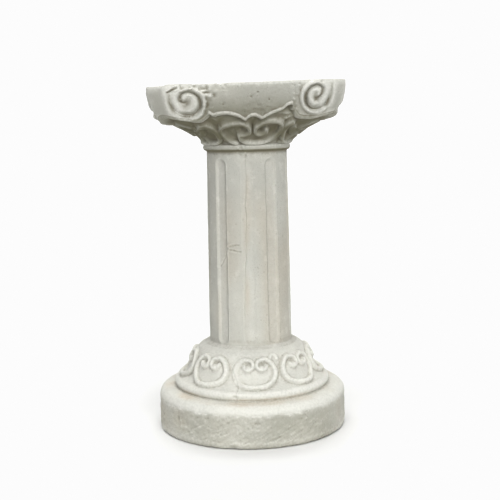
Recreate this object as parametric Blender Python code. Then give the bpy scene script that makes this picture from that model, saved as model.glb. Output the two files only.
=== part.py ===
# Column pedestal, cast in one piece: a round drum, a ring, a sloping stage with
# eight scrolled panels, a fluted shaft, a neck ring, a flared bell with eight
# scrolled loops and a square top block with clipped corners and a volute at
# each end of each side.
# Metres, +Z up, origin at the middle of the underside. The front faces -Y.

import bpy
import numpy as np

# ---- overall -----------------------------------------------------------
HEIGHT = 0.614
COLUMNS = 360              # points around the body before it is thinned out
FACE_TARGET = 9400         # triangles left on the solid

# ---- drum and ring -----------------------------------------------------
DRUM_R = 0.1689
DRUM_FOOT_ROUND = 0.0063
DRUM_SIDE_TOP = 0.0590
DRUM_SHOULDER_ROUND = 0.0155
SHELF_Z = 0.0755
RING_SEAT_R = 0.1405
RING_CENTRE_R = 0.1322
RING_CENTRE_Z = 0.0828
RING_ROUND = 0.0086

# ---- sloping stage -----------------------------------------------------
STAGE_FOOT = (0.1305, 0.0920)
STAGE_LOW = (0.1165, 0.1010)
STAGE_MID = (0.1060, 0.1230)
STAGE_HIGH = (0.0960, 0.1435)
STAGE_TOP = (0.0830, 0.1530)

# ---- shaft -------------------------------------------------------------
SHAFT_FOOT_R = 0.0744
SHAFT_FOOT_Z = 0.1580
SHAFT_TOP_R = 0.0714
SHAFT_TOP_Z = 0.4960
FLUTES = 9
FLUTE_FIRST = np.radians(-3.4)
FLUTE_HALF_W = 0.0112
FLUTE_DEPTH = 0.0042
FLUTE_LOW_Z = 0.1585
FLUTE_HIGH_Z = 0.4850

# ---- neck ring ---------------------------------------------------------
NECK_Z = 0.5044
NECK_ROUND = 0.0062

# ---- bell --------------------------------------------------------------
BELL_LOW_Z = 0.5112

# ---- square block ------------------------------------------------------
HALF_SIDE = 0.1640
BLOCK_SHIFT = -0.0050      # the left and right sides sit a little to the left of the axis
CLIP_LEFT = 0.0310
CLIP_RIGHT = 0.0220
FIELD_SINK = 0.0050
ARRIS = 0.0025
VOLUTE_X = 0.1040
VOLUTE_Z = 0.5840
VOLUTE_R = 0.0330
VOLUTE_DEPTH = 0.0085
VOLUTE_SHALLOW = 0.0040    # how much less deep the channel is on its corner side
CORD_W = 0.0072            # half width of the volute's cord
CUSP_X = 0.0166            # half the middle scallop of the lip
CUSP_SHIFT = 0.0056        # the scallops sit a little to the right of the axis
CUSP_Z = 0.5582
LIP_END = 0.0700
LIP_THICK = 0.0056
LIP_PROUD = 0.0042
FOOT_ROUND = 0.0036        # the discs and corners are rounded this much below

# ---- raised panels -----------------------------------------------------
PANELS = 8
PANEL_HALF_W = 0.0338
PANEL_LOW = 0.0040         # slope distance from the ring to the panel's edge
PANEL_TALL = 0.0560
PANEL_RISE = 0.0038
PANEL_RIM = 0.0028
PANEL_CORD = 0.0050        # half width of the raised cord
PANEL_CURL_X = 0.0128
PANEL_CURL_R = 0.0098
LOOP_FACE_DEG = 25.5       # half width of the loops under the sides
LOOP_FACE_TURN = 1.8       # and their turn to the right
LOOP_CORNER_DEG = 16.5     # and under the corners
LOOP_CORD = 0.0062
LOOP_RIM = 0.0050


def smooth(x):
    x = np.clip(x, 0.0, 1.0)
    return x * x * (3.0 - 2.0 * x)


def arc(cr, cz, radius, start, end, count):
    t = np.radians(np.linspace(start, end, count))
    return [(cr + radius * np.cos(a), cz + radius * np.sin(a)) for a in t]


def bezier_chain(points, count):
    """A smooth curve through the points, as a list of (r, z)."""
    p = np.array(points, float)
    p = np.vstack([2 * p[0] - p[1], p, 2 * p[-1] - p[-2]])
    out = []
    spans = len(p) - 3
    for i in range(spans):
        a, b, c, d = p[i], p[i + 1], p[i + 2], p[i + 3]
        t = np.linspace(0, 1, count, endpoint=(i == spans - 1))[:, None]
        out.append(0.5 * (2 * b + (c - a) * t + (2 * a - 5 * b + 4 * c - d) * t ** 2
                          + (3 * b - a - 3 * c + d) * t ** 3))
    return np.vstack(out)


def resample(path, step):
    path = np.asarray(path, float)
    run = np.r_[0, np.cumsum(np.linalg.norm(np.diff(path, axis=0), axis=1))]
    count = max(2, int(round(run[-1] / step)) + 1)
    at = np.linspace(0, run[-1], count)
    return np.stack([np.interp(at, run, path[:, k]) for k in range(path.shape[1])], 1)


def clipped_square(theta, sides, corners, sharp):
    """Distance from the axis to a square with clipped, softened corners."""
    total = 0.0
    for k in range(4):
        total = total + (np.maximum(np.cos(theta - k * np.pi / 2), 0.0) / sides[k]) ** sharp
        total = total + (np.maximum(np.cos(theta - (k + 0.5) * np.pi / 2), 0.0) / corners[k]) ** sharp
    return total ** (-1.0 / sharp)


def face_angle(theta):
    """Angle from the nearest face centre, -45 to 45 degrees, in radians."""
    return (theta + np.pi / 4) % (np.pi / 2) - np.pi / 4


def side_planes():
    """Distances from the axis to the four sides: front, right, back, left."""
    return [HALF_SIDE, HALF_SIDE + BLOCK_SHIFT, HALF_SIDE, HALF_SIDE - BLOCK_SHIFT]


def along_face(theta):
    """Distance along the nearest side, from the axis, positive to its right."""
    nearest = np.round(theta / (np.pi / 2)).astype(int) % 4
    return np.array(side_planes())[nearest] * np.tan(face_angle(theta))


def clip_starts():
    """Where the clipped corners start on each side, as (left end, right end)."""
    planes = side_planes()
    clips = [CLIP_RIGHT, CLIP_RIGHT, CLIP_LEFT, CLIP_LEFT]
    return [(planes[(k + 3) % 4] - clips[(k + 3) % 4], planes[(k + 1) % 4] - clips[k]) for k in range(4)]


def volute_shift(face, sign):
    """How far a volute is moved out to touch its own corner."""
    start = clip_starts()[face][1 if sign > 0 else 0]
    return start - 0.0340 - VOLUTE_X


def across_face(theta):
    """Distance from the middle of a side, stretched so that every volute is at VOLUTE_X."""
    nearest = np.round(theta / (np.pi / 2)).astype(int) % 4
    x = along_face(theta)
    shift = np.array([[volute_shift(k, -1), volute_shift(k, 1)] for k in range(4)])
    return np.abs(x) - shift[nearest, (x > 0).astype(int)] * smooth((np.abs(x) - 0.030) / 0.030)


def lean(z):
    """How far the sides and corners draw in towards their foot."""
    t = np.clip((0.604 - z) / 0.048, 0.0, 1.25)
    return 0.0180 * t ** 1.55


def field_sink(x):
    """How far the plain field between the volutes is sunk."""
    return FIELD_SINK * (1 - smooth((x - 0.1160) / 0.0120))


def block_radius(theta, z):
    sink = field_sink(across_face(theta))
    draw = lean(z)
    planes = side_planes()
    clips = [CLIP_RIGHT, CLIP_RIGHT, CLIP_LEFT, CLIP_LEFT]
    sides = [p - draw - sink for p in planes]
    corners = [(planes[k] + planes[(k + 1) % 4] - 1.5 * draw - clips[k]) / np.sqrt(2.0) for k in range(4)]
    return clipped_square(theta, sides, corners, 90.0)


def lip_height(x):
    """The scalloped lip, by distance along a side."""
    off = np.abs(x - CUSP_SHIFT)
    middle = CUSP_Z + 0.0070 * (1 - (off / CUSP_X) ** 2)
    t = np.clip((off - CUSP_X) / (LIP_END + CUSP_SHIFT - CUSP_X), 0.0, 1.0)
    side = CUSP_Z + 0.0105 * np.sin(np.pi * t ** 1.25) ** 0.8 + 0.0010 * t
    return np.where(off < CUSP_X, middle, side)


def on_lip(theta):
    """1 along the scalloped lip, 0 at the volutes and corners."""
    return 1 - smooth((across_face(theta) - LIP_END - 0.0020) / 0.0100)


def block_foot(theta):
    """Height of the block's lower edge: scalloped lip, volutes, clipped corner."""
    foot = lip_height(along_face(theta))
    x = across_face(theta)
    drop = np.sqrt(np.clip(VOLUTE_R ** 2 - (x - VOLUTE_X) ** 2, 0, None))
    low = VOLUTE_Z - VOLUTE_R
    under = np.where(x > VOLUTE_X, low + 0.0045 * smooth((x - VOLUTE_X) / 0.05), VOLUTE_Z - drop)
    return np.where(x > VOLUTE_X - VOLUTE_R, np.minimum(foot, under), foot)


def bell_radius(theta, z):
    """Round at the neck, growing square towards the top."""
    heights = (0.5112, 0.5190, 0.5260, 0.5330, 0.5400, 0.5450, 0.5490, 0.5530, 0.5600, 0.5760)
    halves = (0.0755, 0.0815, 0.0895, 0.0985, 0.1098, 0.1192, 0.1262, 0.1315, 0.1365, 0.1385)
    square = (0.00, 0.05, 0.15, 0.30, 0.46, 0.60, 0.70, 0.78, 0.88, 0.95)
    half = np.interp(z, heights, halves)
    w = np.interp(z, heights, square)
    ratio = clipped_square(theta, [1.0] * 4, [1.280] * 4, 40.0)
    return half * (1 + w * (ratio - 1))


def ring_rows(points, columns):
    pts = np.asarray(points, float)
    return (np.repeat(pts[:, :1], columns, 1), np.repeat(pts[:, 1:], columns, 1))


def base_surface(columns, fine):
    """Radius and height of every row of the plain body; fine scales the row spacing."""
    theta = np.linspace(0, 2 * np.pi, columns, endpoint=False)
    step = 0.0016 * fine
    parts = []

    def add(tag, r, z):
        parts.append((tag, r, z))

    foot = [(0.040, 0.0), (0.080, 0.0), (0.120, 0.0), (0.150, 0.0)]
    add("under", *ring_rows(foot, columns))
    edge = arc(DRUM_R - DRUM_FOOT_ROUND, DRUM_FOOT_ROUND, DRUM_FOOT_ROUND, -90, 0, 6)
    add("foot", *ring_rows(edge, columns))
    side = [(DRUM_R, DRUM_FOOT_ROUND + 0.001), (DRUM_R, DRUM_SIDE_TOP - 0.0005)]
    add("side", *ring_rows(resample(side, 2 * step), columns))
    shoulder = arc(DRUM_R - DRUM_SHOULDER_ROUND, DRUM_SIDE_TOP, DRUM_SHOULDER_ROUND, 0, 84, 12)
    shoulder += [(RING_SEAT_R + 0.001, SHELF_Z)]
    add("shoulder", *ring_rows(resample(shoulder, step), columns))
    ring = arc(RING_CENTRE_R, RING_CENTRE_Z, RING_ROUND, -46, 92, 16)
    add("ring", *ring_rows(resample(ring, step), columns))
    stage = bezier_chain([STAGE_FOOT, STAGE_LOW, STAGE_MID, STAGE_HIGH, STAGE_TOP], 16)
    add("stage", *ring_rows(resample(stage, 0.75 * step)[0:], columns))
    toe = [(0.0790, 0.1545), (0.0757, 0.1562)]
    add("toe", *ring_rows(toe, columns))
    shaft = [(SHAFT_FOOT_R, SHAFT_FOOT_Z), (SHAFT_TOP_R, SHAFT_TOP_Z)]
    add("shaft", *ring_rows(resample(shaft, 1.5 * step), columns))
    neck = arc(SHAFT_TOP_R, NECK_Z, NECK_ROUND, -84, 80, 12)
    add("neck", *ring_rows(resample(neck, step), columns))

    foot_z = block_foot(theta)
    rows = int(0.075 / step)
    t = np.linspace(0, 1, rows)[:, None]
    z = BELL_LOW_Z + (foot_z[None, :] - BELL_LOW_Z) * (0.55 * t + 0.45 * t ** 0.6)
    r = bell_radius(theta[None, :], z)
    add("bell", r, z)

    bell_r = r[-1]
    start_z = foot_z + LIP_THICK
    lip = on_lip(theta)
    edge_r = block_radius(theta, foot_z + 0.5 * LIP_THICK) + LIP_PROUD * lip
    for k in (0.12, 0.42, 0.72):
        add("bridge", (bell_r + (edge_r - 0.0012 - bell_r) * k)[None, :],
            (foot_z - 0.0006 * np.sin(np.pi * k))[None, :])
    for back, round_back, up in ((0.0014, 1.0, 0.02), (0.0006, 0.6, 0.16), (0.0001, 0.3, 0.36), (0.0008, 0.0, 0.70)):
        out = edge_r - back * lip - FOOT_ROUND * round_back * (1 - lip)
        add("lip", out[None, :], (foot_z + up * LIP_THICK)[None, :])

    rows = int(0.056 / step)
    t = np.linspace(0, 1, rows)[:, None]
    z = start_z[None, :] + (HEIGHT - ARRIS - start_z[None, :]) * t
    r = block_radius(theta[None, :], z)
    add("block", r, z)
    top = r[-1]
    for a in (30, 60, 90):
        a = np.radians(a)
        add("arris", (top - ARRIS * (1 - np.cos(a)))[None, :],
            np.full((1, columns), HEIGHT - ARRIS + ARRIS * np.sin(a)))
    for k in (0.93, 0.75, 0.5, 0.25):
        add("top", ((top - ARRIS) * k)[None, :], np.full((1, columns), HEIGHT))
    tags = np.concatenate([[tag] * len(r) for tag, r, z in parts])
    radius = np.vstack([r for tag, r, z in parts])
    height = np.vstack([z for tag, r, z in parts])
    return theta, tags, radius, height


def points_of(theta, radius, height):
    """Front (angle 0) faces -Y and angles grow towards +X."""
    return np.stack([radius * np.sin(theta), -radius * np.cos(theta), height], -1)


def normals_of(points):
    around = np.roll(points, -1, 1) - np.roll(points, 1, 1)
    along = np.gradient(points, axis=0)
    n = np.cross(around, along)
    return n / np.maximum(np.linalg.norm(n, axis=-1, keepdims=True), 1e-12)


def distance_to(path, q):
    """Distance and run fraction from each point of q to a polyline."""
    best = np.full(len(q), 1e9)
    at = np.zeros(len(q))
    run = np.r_[0, np.cumsum(np.linalg.norm(np.diff(path, axis=0), axis=1))]
    for i in range(len(path) - 1):
        a, b = path[i], path[i + 1]
        ab = b - a
        size = max(float(ab @ ab), 1e-18)
        t = np.clip((q - a) @ ab / size, 0, 1)
        d = np.linalg.norm(q - (a + t[:, None] * ab), axis=1)
        closer = d < best
        best[closer] = d[closer]
        at[closer] = (run[i] + t[closer] * (run[i + 1] - run[i])) / run[-1]
    return best, at


def ridge(d, half_width):
    """A rounded cord: 1 on its line, 0 from half_width on."""
    x = np.clip(d / half_width, 0, 1)
    return np.sqrt(np.clip(1 - x * x, 0, 1)) * (1 - x ** 4)


def half_panel_path():
    """One side of a panel's cord: up the side, over the top and into its curl."""
    w, h = PANEL_HALF_W, PANEL_TALL
    mid = 0.54 * h
    low = []
    for a in np.radians(np.linspace(0, 90, 14)):
        low.append((w * np.sin(a) * (1 - 0.10 * np.cos(a)), mid - mid * np.cos(a)))
    cx, cy = PANEL_CURL_X, 0.985 * h - PANEL_CURL_R
    high = []
    for a in np.linspace(6, 78, 10):
        t = (a - 6) / 72
        edge = (w - 0.0210 + 0.0210 * np.cos(np.radians(a)), mid + (0.985 * h - mid) * np.sin(np.radians(a)))
        high.append(edge)
    curl = []
    for a in np.linspace(84, 352, 24):
        turn = (a - 84) / 268
        radius = PANEL_CURL_R * (1 - 0.30 * turn)
        curl.append((cx + radius * np.cos(np.radians(a)), cy + radius * np.sin(np.radians(a))))
    return np.array(low + high + curl)


def inside(poly, q):
    hit = np.zeros(len(q), bool)
    n = len(poly)
    for i in range(n):
        (x0, y0), (x1, y1) = poly[i], poly[(i + 1) % n]
        cross = (y0 > q[:, 1]) != (y1 > q[:, 1])
        with np.errstate(divide="ignore", invalid="ignore"):
            hit ^= cross & (q[:, 0] < (x1 - x0) * (q[:, 1] - y0) / (y1 - y0) + x0)
    return hit


def panel_relief(u, v):
    """Height of a panel at (u across, v up the slope)."""
    path = resample(half_panel_path(), 0.0012)
    q = np.stack([np.abs(u), v - PANEL_LOW], 1)
    d, at = distance_to(path, q)
    outline = half_panel_path()[:24]
    loop = np.vstack([outline, [[0.0, PANEL_TALL * 0.97]], [[-0.001, 0.0]]])
    within = inside(loop, q)
    edge, _ = distance_to(resample(np.vstack([outline, [[0.0, PANEL_TALL * 0.97]]]), 0.0015), q)
    plate = np.where(within, 1.0, 1 - smooth((edge - 0.0035) / 0.0022))
    fade = 1 - smooth((q[:, 1] - 0.86 * PANEL_TALL) / (0.22 * PANEL_TALL))
    curl = smooth((at - 0.60) / 0.08)
    cord = ridge(d, PANEL_CORD * (1 - 0.12 * curl)) * (PANEL_RIM + 0.0012 * curl)
    bowl = np.where(within, 0.0012 * (1 - smooth((0.012 - d) / 0.010)), 0.0)
    eye = np.hypot(q[:, 0] - PANEL_CURL_X - 0.0020, q[:, 1] - (0.985 * PANEL_TALL - PANEL_CURL_R) + 0.0015)
    knob = 0.0030 * ridge(eye, 0.0058)
    return PANEL_RISE * plate * (0.35 + 0.65 * fade) - bowl + np.maximum(cord, knob)


def loop_points(half_deg):
    """One side of a bell loop's cord as (degrees from its middle, share of the bell's height)."""
    w = half_deg
    path = [(0.0, 0.035), (0.34 * w, 0.035), (0.72 * w, 0.13), (0.95 * w, 0.28), (1.00 * w, 0.46),
            (0.93 * w, 0.60), (0.75 * w, 0.74), (0.56 * w, 0.78), (0.36 * w, 0.73), (0.19 * w, 0.62),
            (0.13 * w, 0.47), (0.21 * w, 0.35), (0.40 * w, 0.36), (0.50 * w, 0.46)]
    return bezier_chain(path, 8)


def add_panels(theta, tags, points, normals, lift):
    rows = np.where((tags == "stage") | (tags == "toe"))[0]
    run = np.r_[0, np.cumsum(np.linalg.norm(np.diff(points[rows, 0], axis=0), axis=1))]
    mid_r = 0.105
    for k in range(PANELS):
        centre = k * 2 * np.pi / PANELS
        off = (theta - centre + np.pi) % (2 * np.pi) - np.pi
        cols = np.where(np.abs(off) < np.pi / PANELS * 1.02)[0]
        u, v = np.meshgrid(off[cols] * mid_r, run)
        h = panel_relief(u.ravel(), v.ravel()).reshape(u.shape)
        block = np.ix_(rows, cols)
        lift[block] = np.maximum(lift[block], h)


def add_loops(theta, tags, points, lift):
    rows = np.where(tags == "bell")[0]
    pts = points[rows]
    columns = len(theta)
    for k in range(PANELS):
        half_deg = LOOP_FACE_DEG if k % 2 == 0 else LOOP_CORNER_DEG
        centre = k * 2 * np.pi / PANELS + (np.radians(LOOP_FACE_TURN) if k % 2 == 0 else 0.0)
        path = loop_points(half_deg)
        off = (theta - centre + np.pi) % (2 * np.pi) - np.pi
        near = np.where(np.abs(off) < np.radians(half_deg * 1.25))[0]
        for sign in (1, -1):
            line = []
            for deg, share in path:
                a = centre + sign * np.radians(deg)
                col = (a / (2 * np.pi) * columns) % columns
                c0 = int(col) % columns
                c1 = (c0 + 1) % columns
                z_low, z_high = BELL_LOW_Z, 0.5640
                z = z_low + (z_high - z_low) * share
                both = []
                for c in (c0, c1):
                    both.append([np.interp(z, pts[:, c, 2], pts[:, c, j]) for j in range(3)])
                f = col - int(col)
                line.append((1 - f) * np.array(both[0]) + f * np.array(both[1]))
            line = resample(np.array(line), 0.0015)
            cols = near[(off[near] * sign) > -np.radians(3)]
            block = np.ix_(rows, cols)
            q = points[block].reshape(-1, 3)
            d, at = distance_to(line, q)
            cord = ridge(d, LOOP_CORD) * LOOP_RIM
            lift[block] = np.maximum(lift[block], cord.reshape(len(rows), len(cols)))


def volute_ridge():
    """Crest of the spiral in the plane of the face, from its tail at the corner inwards."""
    turn = (-38, -29, 0, 45, 90, 135, 180, 225, 270, 315, 360, 405, 450, 495, 540, 585, 630)
    reach = (0.0440, 0.0390, 0.0340, 0.0315, 0.0290, 0.0297, 0.0292, 0.0275, 0.0250, 0.0207,
             0.0165, 0.0122, 0.0128, 0.0152, 0.0150, 0.0132, 0.0108)
    a = np.linspace(-38, 630, 160)
    ring = np.interp(a, turn, reach)
    ring = np.convolve(np.r_[[ring[0]] * 4, ring, [ring[-1]] * 4], np.ones(9) / 9.0, "valid")
    return np.stack([ring * np.cos(np.radians(a)), -ring * np.sin(np.radians(a))], 1)


def volute_height(x, z):
    """Height over the plane of the side at distance x, z: crest 0, channels below."""
    u, v = x - VOLUTE_X, z - VOLUTE_Z
    d, at = distance_to(resample(volute_ridge(), 0.0012), np.stack([u, v], 1))
    far = np.hypot(u, v)
    turn = np.degrees(np.arctan2(-v, u)) % 360
    rim = np.interp(turn, (0, 45, 90, 135, 180, 225, 270, 285, 300, 360),
                    (0.0340, 0.0315, 0.0290, 0.0297, 0.0292, 0.0275, 0.0250, 0.0300, 0.0500, 0.0500))
    inner = smooth((0.0150 - far) / 0.0080)
    off_corner = np.minimum(np.abs(turn - 20), 360 - np.abs(turn - 20))
    deep = VOLUTE_DEPTH - VOLUTE_SHALLOW * np.exp(-(off_corner / 45.0) ** 2)
    deep = np.where(far < rim, deep * (1 - 0.45 * inner), VOLUTE_DEPTH)
    width = CORD_W + 0.0022 * inner
    cord = np.sqrt(np.clip(1 - (d / width) ** 2, 0, 1))
    carved = -deep * (1 - cord)
    return np.where(far > rim, np.maximum(carved, -field_sink(x)), carved)


def add_volutes(theta, tags, points):
    """Raises and carves the spirals straight out of each side of the block."""
    rows = np.where((tags == "lip") | (tags == "block") | (tags == "arris"))[0]
    for k in range(4):
        centre = k * np.pi / 2
        off = (theta - centre + np.pi) % (2 * np.pi) - np.pi
        out = np.array([np.sin(centre), -np.cos(centre), 0.0])
        along = np.array([np.cos(centre), np.sin(centre), 0.0])
        for sign in (1, -1):
            near = (off * sign > np.arctan2(0.055, HALF_SIDE)) & (off * sign < np.pi / 4)
            cols = np.where(near)[0]
            block = np.ix_(rows, cols)
            q = points[block].reshape(-1, 3)
            x = (q @ along) * sign - volute_shift(k, sign)
            h = volute_height(x, q[:, 2]) + field_sink(x)
            h = h * (1 - smooth((x - VOLUTE_X - VOLUTE_R + 0.0020) / 0.0030)) * smooth((x - 0.0600) / 0.0100)
            q = q + out * h[:, None]
            points[block] = q.reshape(len(rows), len(cols), 3)


def flute_angles():
    return FLUTE_FIRST + np.arange(FLUTES) * 2 * np.pi / FLUTES


def flute_relief(across, z):
    """Depth of a round-ended flute at a distance across it and a height."""
    end = np.maximum(FLUTE_LOW_Z + FLUTE_HALF_W - z, z - (FLUTE_HIGH_Z - FLUTE_HALF_W))
    d = np.hypot(across, np.maximum(end, 0.0)) / FLUTE_HALF_W
    return -FLUTE_DEPTH * smooth((1 - d) / 0.85)


def add_flutes(theta, tags, points, lift):
    rows = np.where(tags == "shaft")[0]
    for a in flute_angles():
        off = (theta - a + np.pi) % (2 * np.pi) - np.pi
        cols = np.where(np.abs(off) < 0.18)[0]
        z = points[rows, 0, 2]
        r = np.hypot(points[rows, 0, 0], points[rows, 0, 1])
        across = r[:, None] * off[cols][None, :]
        block = np.ix_(rows, cols)
        lift[block] += flute_relief(across, np.repeat(z[:, None], len(cols), 1))


def shaped(columns, fine):
    """All points of the carved body, row by row from the underside to the top."""
    theta, tags, radius, height = base_surface(columns, fine)
    points = points_of(theta[None, :], radius, height)
    normals = normals_of(points)
    lift = np.zeros(radius.shape)
    add_panels(theta, tags, points, normals, lift)
    add_loops(theta, tags, points, lift)
    add_flutes(theta, tags, points, lift)
    points = points + normals * lift[..., None]
    add_volutes(theta, tags, points)
    return theta, tags, points


def closed_mesh(name, points):
    """Closes the rows into one body with a point in the middle of each end."""
    rows, cols = points.shape[:2]
    verts = points.reshape(-1, 3)
    low = [[0.0, 0.0, points[0, 0, 2]]]
    high = [[0.0, 0.0, points[-1, 0, 2]]]
    verts = np.vstack([verts, low, high])
    i = np.arange(rows - 1)[:, None] * cols
    j = np.arange(cols)[None, :]
    k = (j + 1) % cols
    a, b, c, d = i + j, i + k, i + cols + k, i + cols + j
    quads = np.stack([a, b, c, d], -1).reshape(-1, 4)
    ring = np.arange(cols)
    after = (ring + 1) % cols
    bottom = rows * cols
    top = bottom + 1
    last = (rows - 1) * cols
    faces = quads.tolist()
    faces += [[int(after[n]), int(ring[n]), bottom] for n in range(cols)]
    faces += [[last + int(ring[n]), last + int(after[n]), top] for n in range(cols)]
    mesh = bpy.data.meshes.new(name)
    mesh.from_pydata(verts.tolist(), [], faces)
    mesh.update()
    return mesh


def stone():
    mat = bpy.data.materials.new("cast_stone")
    mat.use_nodes = True
    shader = mat.node_tree.nodes["Principled BSDF"]
    shader.inputs["Base Color"].default_value = (0.60, 0.585, 0.53, 1.0)
    shader.inputs["Roughness"].default_value = 0.9
    shader.inputs["Metallic"].default_value = 0.0
    return mat


def main():
    for obj in list(bpy.data.objects):
        bpy.data.objects.remove(obj, do_unlink=True)
    theta, tags, points = shaped(COLUMNS, 1.0)
    mesh = closed_mesh("carved_rows", points)
    rough = bpy.data.objects.new("carved_rows", mesh)
    bpy.context.scene.collection.objects.link(rough)
    thin = rough.modifiers.new("thin_out", "DECIMATE")
    thin.decimate_type = "COLLAPSE"
    thin.use_collapse_triangulate = True
    triangles = sum(len(p.vertices) - 2 for p in mesh.polygons)
    thin.ratio = FACE_TARGET / triangles
    graph = bpy.context.evaluated_depsgraph_get()
    light = bpy.data.meshes.new_from_object(rough.evaluated_get(graph))
    light.name = "column_pedestal"
    for vert in light.vertices:
        if vert.co.z < 0.0006:
            vert.co.z = 0.0
        if vert.co.z > HEIGHT - 0.0006:
            vert.co.z = HEIGHT
    bpy.data.objects.remove(rough, do_unlink=True)
    body = bpy.data.objects.new("column_pedestal", light)
    bpy.context.scene.collection.objects.link(body)
    light.materials.clear()
    light.materials.append(stone())
    for poly in light.polygons:
        poly.material_index = 0


main()
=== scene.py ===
# The looks of the column pedestal: one casting in pale stone mix, with its mould seam, worn relief, chips, air holes
# and stains, and painted shade and highlights in its colour, on a plain pale floor.
# Metres, +Z up, the front faces -Y, as in the imported frame.

import math

import bpy
import numpy as np
from mathutils import Matrix, Vector
from mathutils.kdtree import KDTree


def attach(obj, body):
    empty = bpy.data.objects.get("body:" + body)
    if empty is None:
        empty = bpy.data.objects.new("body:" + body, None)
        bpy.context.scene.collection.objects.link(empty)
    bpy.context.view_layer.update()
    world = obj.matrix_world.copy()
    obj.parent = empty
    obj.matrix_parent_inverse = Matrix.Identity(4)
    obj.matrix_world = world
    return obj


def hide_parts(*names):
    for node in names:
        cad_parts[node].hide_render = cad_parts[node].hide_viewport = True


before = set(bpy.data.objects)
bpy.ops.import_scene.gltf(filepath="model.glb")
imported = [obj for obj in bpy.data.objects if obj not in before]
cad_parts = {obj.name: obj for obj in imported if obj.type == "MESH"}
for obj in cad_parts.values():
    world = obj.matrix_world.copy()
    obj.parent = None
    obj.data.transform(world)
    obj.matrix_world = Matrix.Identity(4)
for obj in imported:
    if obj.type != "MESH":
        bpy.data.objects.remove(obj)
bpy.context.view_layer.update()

# ---- camera: where the photograph was taken from --------------------------
LENS_PX = 990.684           # focal length in pixels of the 500 pixel frame
CAM_BACK = 1.776623
CAM_UP = 0.560586
PITCH = math.radians(7.788)
YAW = math.radians(0.065)
ROLL = math.radians(-1.324)
TURN = math.radians(2.9)    # the pedestal stands turned this much to the right


def camera_matrix():
    look = Vector((math.sin(YAW) * math.cos(PITCH), math.cos(YAW) * math.cos(PITCH), -math.sin(PITCH)))
    side = look.cross(Vector((0, 0, 1))).normalized()
    rise = side.cross(look)
    c, s = math.cos(ROLL), math.sin(ROLL)
    right = c * side + s * rise
    up = -s * side + c * rise
    m = Matrix(((right.x, up.x, -look.x), (right.y, up.y, -look.y), (right.z, up.z, -look.z))).to_4x4()
    m.translation = Vector((0, -CAM_BACK, CAM_UP))
    return Matrix.Rotation(-TURN, 4, "Z") @ m


def in_frame(points):
    """Where points fall in the 500 pixel frame, as x to the right and y down."""
    m = np.array(camera_matrix())
    rel = points - m[:3, 3]
    depth = -(rel @ m[:3, 2])
    return 250 + LENS_PX * (rel @ m[:3, 0]) / depth, 250 - LENS_PX * (rel @ m[:3, 1]) / depth


# ---- overall -----------------------------------------------------------
HEIGHT = 0.614
TOP_MEAN = 0.6128           # height of the top in its middle
COLUMNS = 960              # points around the body before it is thinned out
FACE_TARGET = 196000       # triangles left

# ---- drum and ring -----------------------------------------------------
DRUM_R = 0.1689
DRUM_FOOT_ROUND = 0.0063
DRUM_SIDE_TOP = 0.0590
DRUM_SHOULDER_ROUND = 0.0155
SHELF_Z = 0.0755
RING_SEAT_R = 0.1405
RING_CENTRE_R = 0.1322
RING_CENTRE_Z = 0.0828
RING_ROUND = 0.0086

# ---- sloping stage -----------------------------------------------------
STAGE_FOOT = (0.1305, 0.0920)
STAGE_LOW = (0.1165, 0.1010)
STAGE_MID = (0.1060, 0.1230)
STAGE_HIGH = (0.0960, 0.1435)
STAGE_TOP = (0.0830, 0.1530)

# ---- shaft -------------------------------------------------------------
SHAFT_FOOT_R = 0.0744
SHAFT_FOOT_Z = 0.1580
SHAFT_TOP_R = 0.0714
SHAFT_TOP_Z = 0.4960
FLUTES = 9
FLUTE_FIRST = np.radians(-3.4)
FLUTE_HALF_W = 0.0112
FLUTE_DEPTH = 0.0042
FLUTE_LOW_Z = 0.1585
FLUTE_HIGH_Z = 0.4850

# ---- neck ring ---------------------------------------------------------
NECK_Z = 0.5044
NECK_ROUND = 0.0062

# ---- bell --------------------------------------------------------------
BELL_LOW_Z = 0.5112

# ---- square block ------------------------------------------------------
HALF_SIDE = 0.1640
BLOCK_SHIFT = -0.0050      # the left and right sides sit a little to the left of the axis
CLIP_LEFT = 0.0310
CLIP_RIGHT = 0.0220
FIELD_SINK = 0.0050
ARRIS = 0.0025
VOLUTE_X = 0.1040
VOLUTE_Z = 0.5840
VOLUTE_R = 0.0330
CUSP_X = 0.0166            # half the middle scallop of the lip
CUSP_SHIFT = 0.0056        # the scallops sit a little to the right of the axis
CUSP_Z = 0.5582
LIP_END = 0.0700
LIP_THICK = 0.0056
LIP_PROUD = 0.0042
FOOT_ROUND = 0.0036        # the discs and corners are rounded this much below

# ---- raised panels -----------------------------------------------------
PANELS = 8
PANEL_HALF_W = 0.0338
PANEL_LOW = 0.0040         # slope distance from the ring to the panel's edge
PANEL_TALL = 0.0560
PANEL_RISE = 0.0038
PANEL_RIM = 0.0034
PANEL_CORD = 0.0047        # half width of the raised cord
PANEL_CURL_X = 0.0122
PANEL_CURL_V = 0.0428
PANEL_CURL_R = 0.0104
LOOP_FACE_DEG = 25.5       # half width of the loops under the sides
LOOP_FACE_TURN = 1.8       # and their turn to the right
LOOP_CORNER_DEG = 16.5     # and under the corners
LOOP_CORD = 0.0062
LOOP_RIM = 0.0044


def smooth(x):
    x = np.clip(x, 0.0, 1.0)
    return x * x * (3.0 - 2.0 * x)


def arc(cr, cz, radius, start, end, count):
    t = np.radians(np.linspace(start, end, count))
    return [(cr + radius * np.cos(a), cz + radius * np.sin(a)) for a in t]


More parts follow.
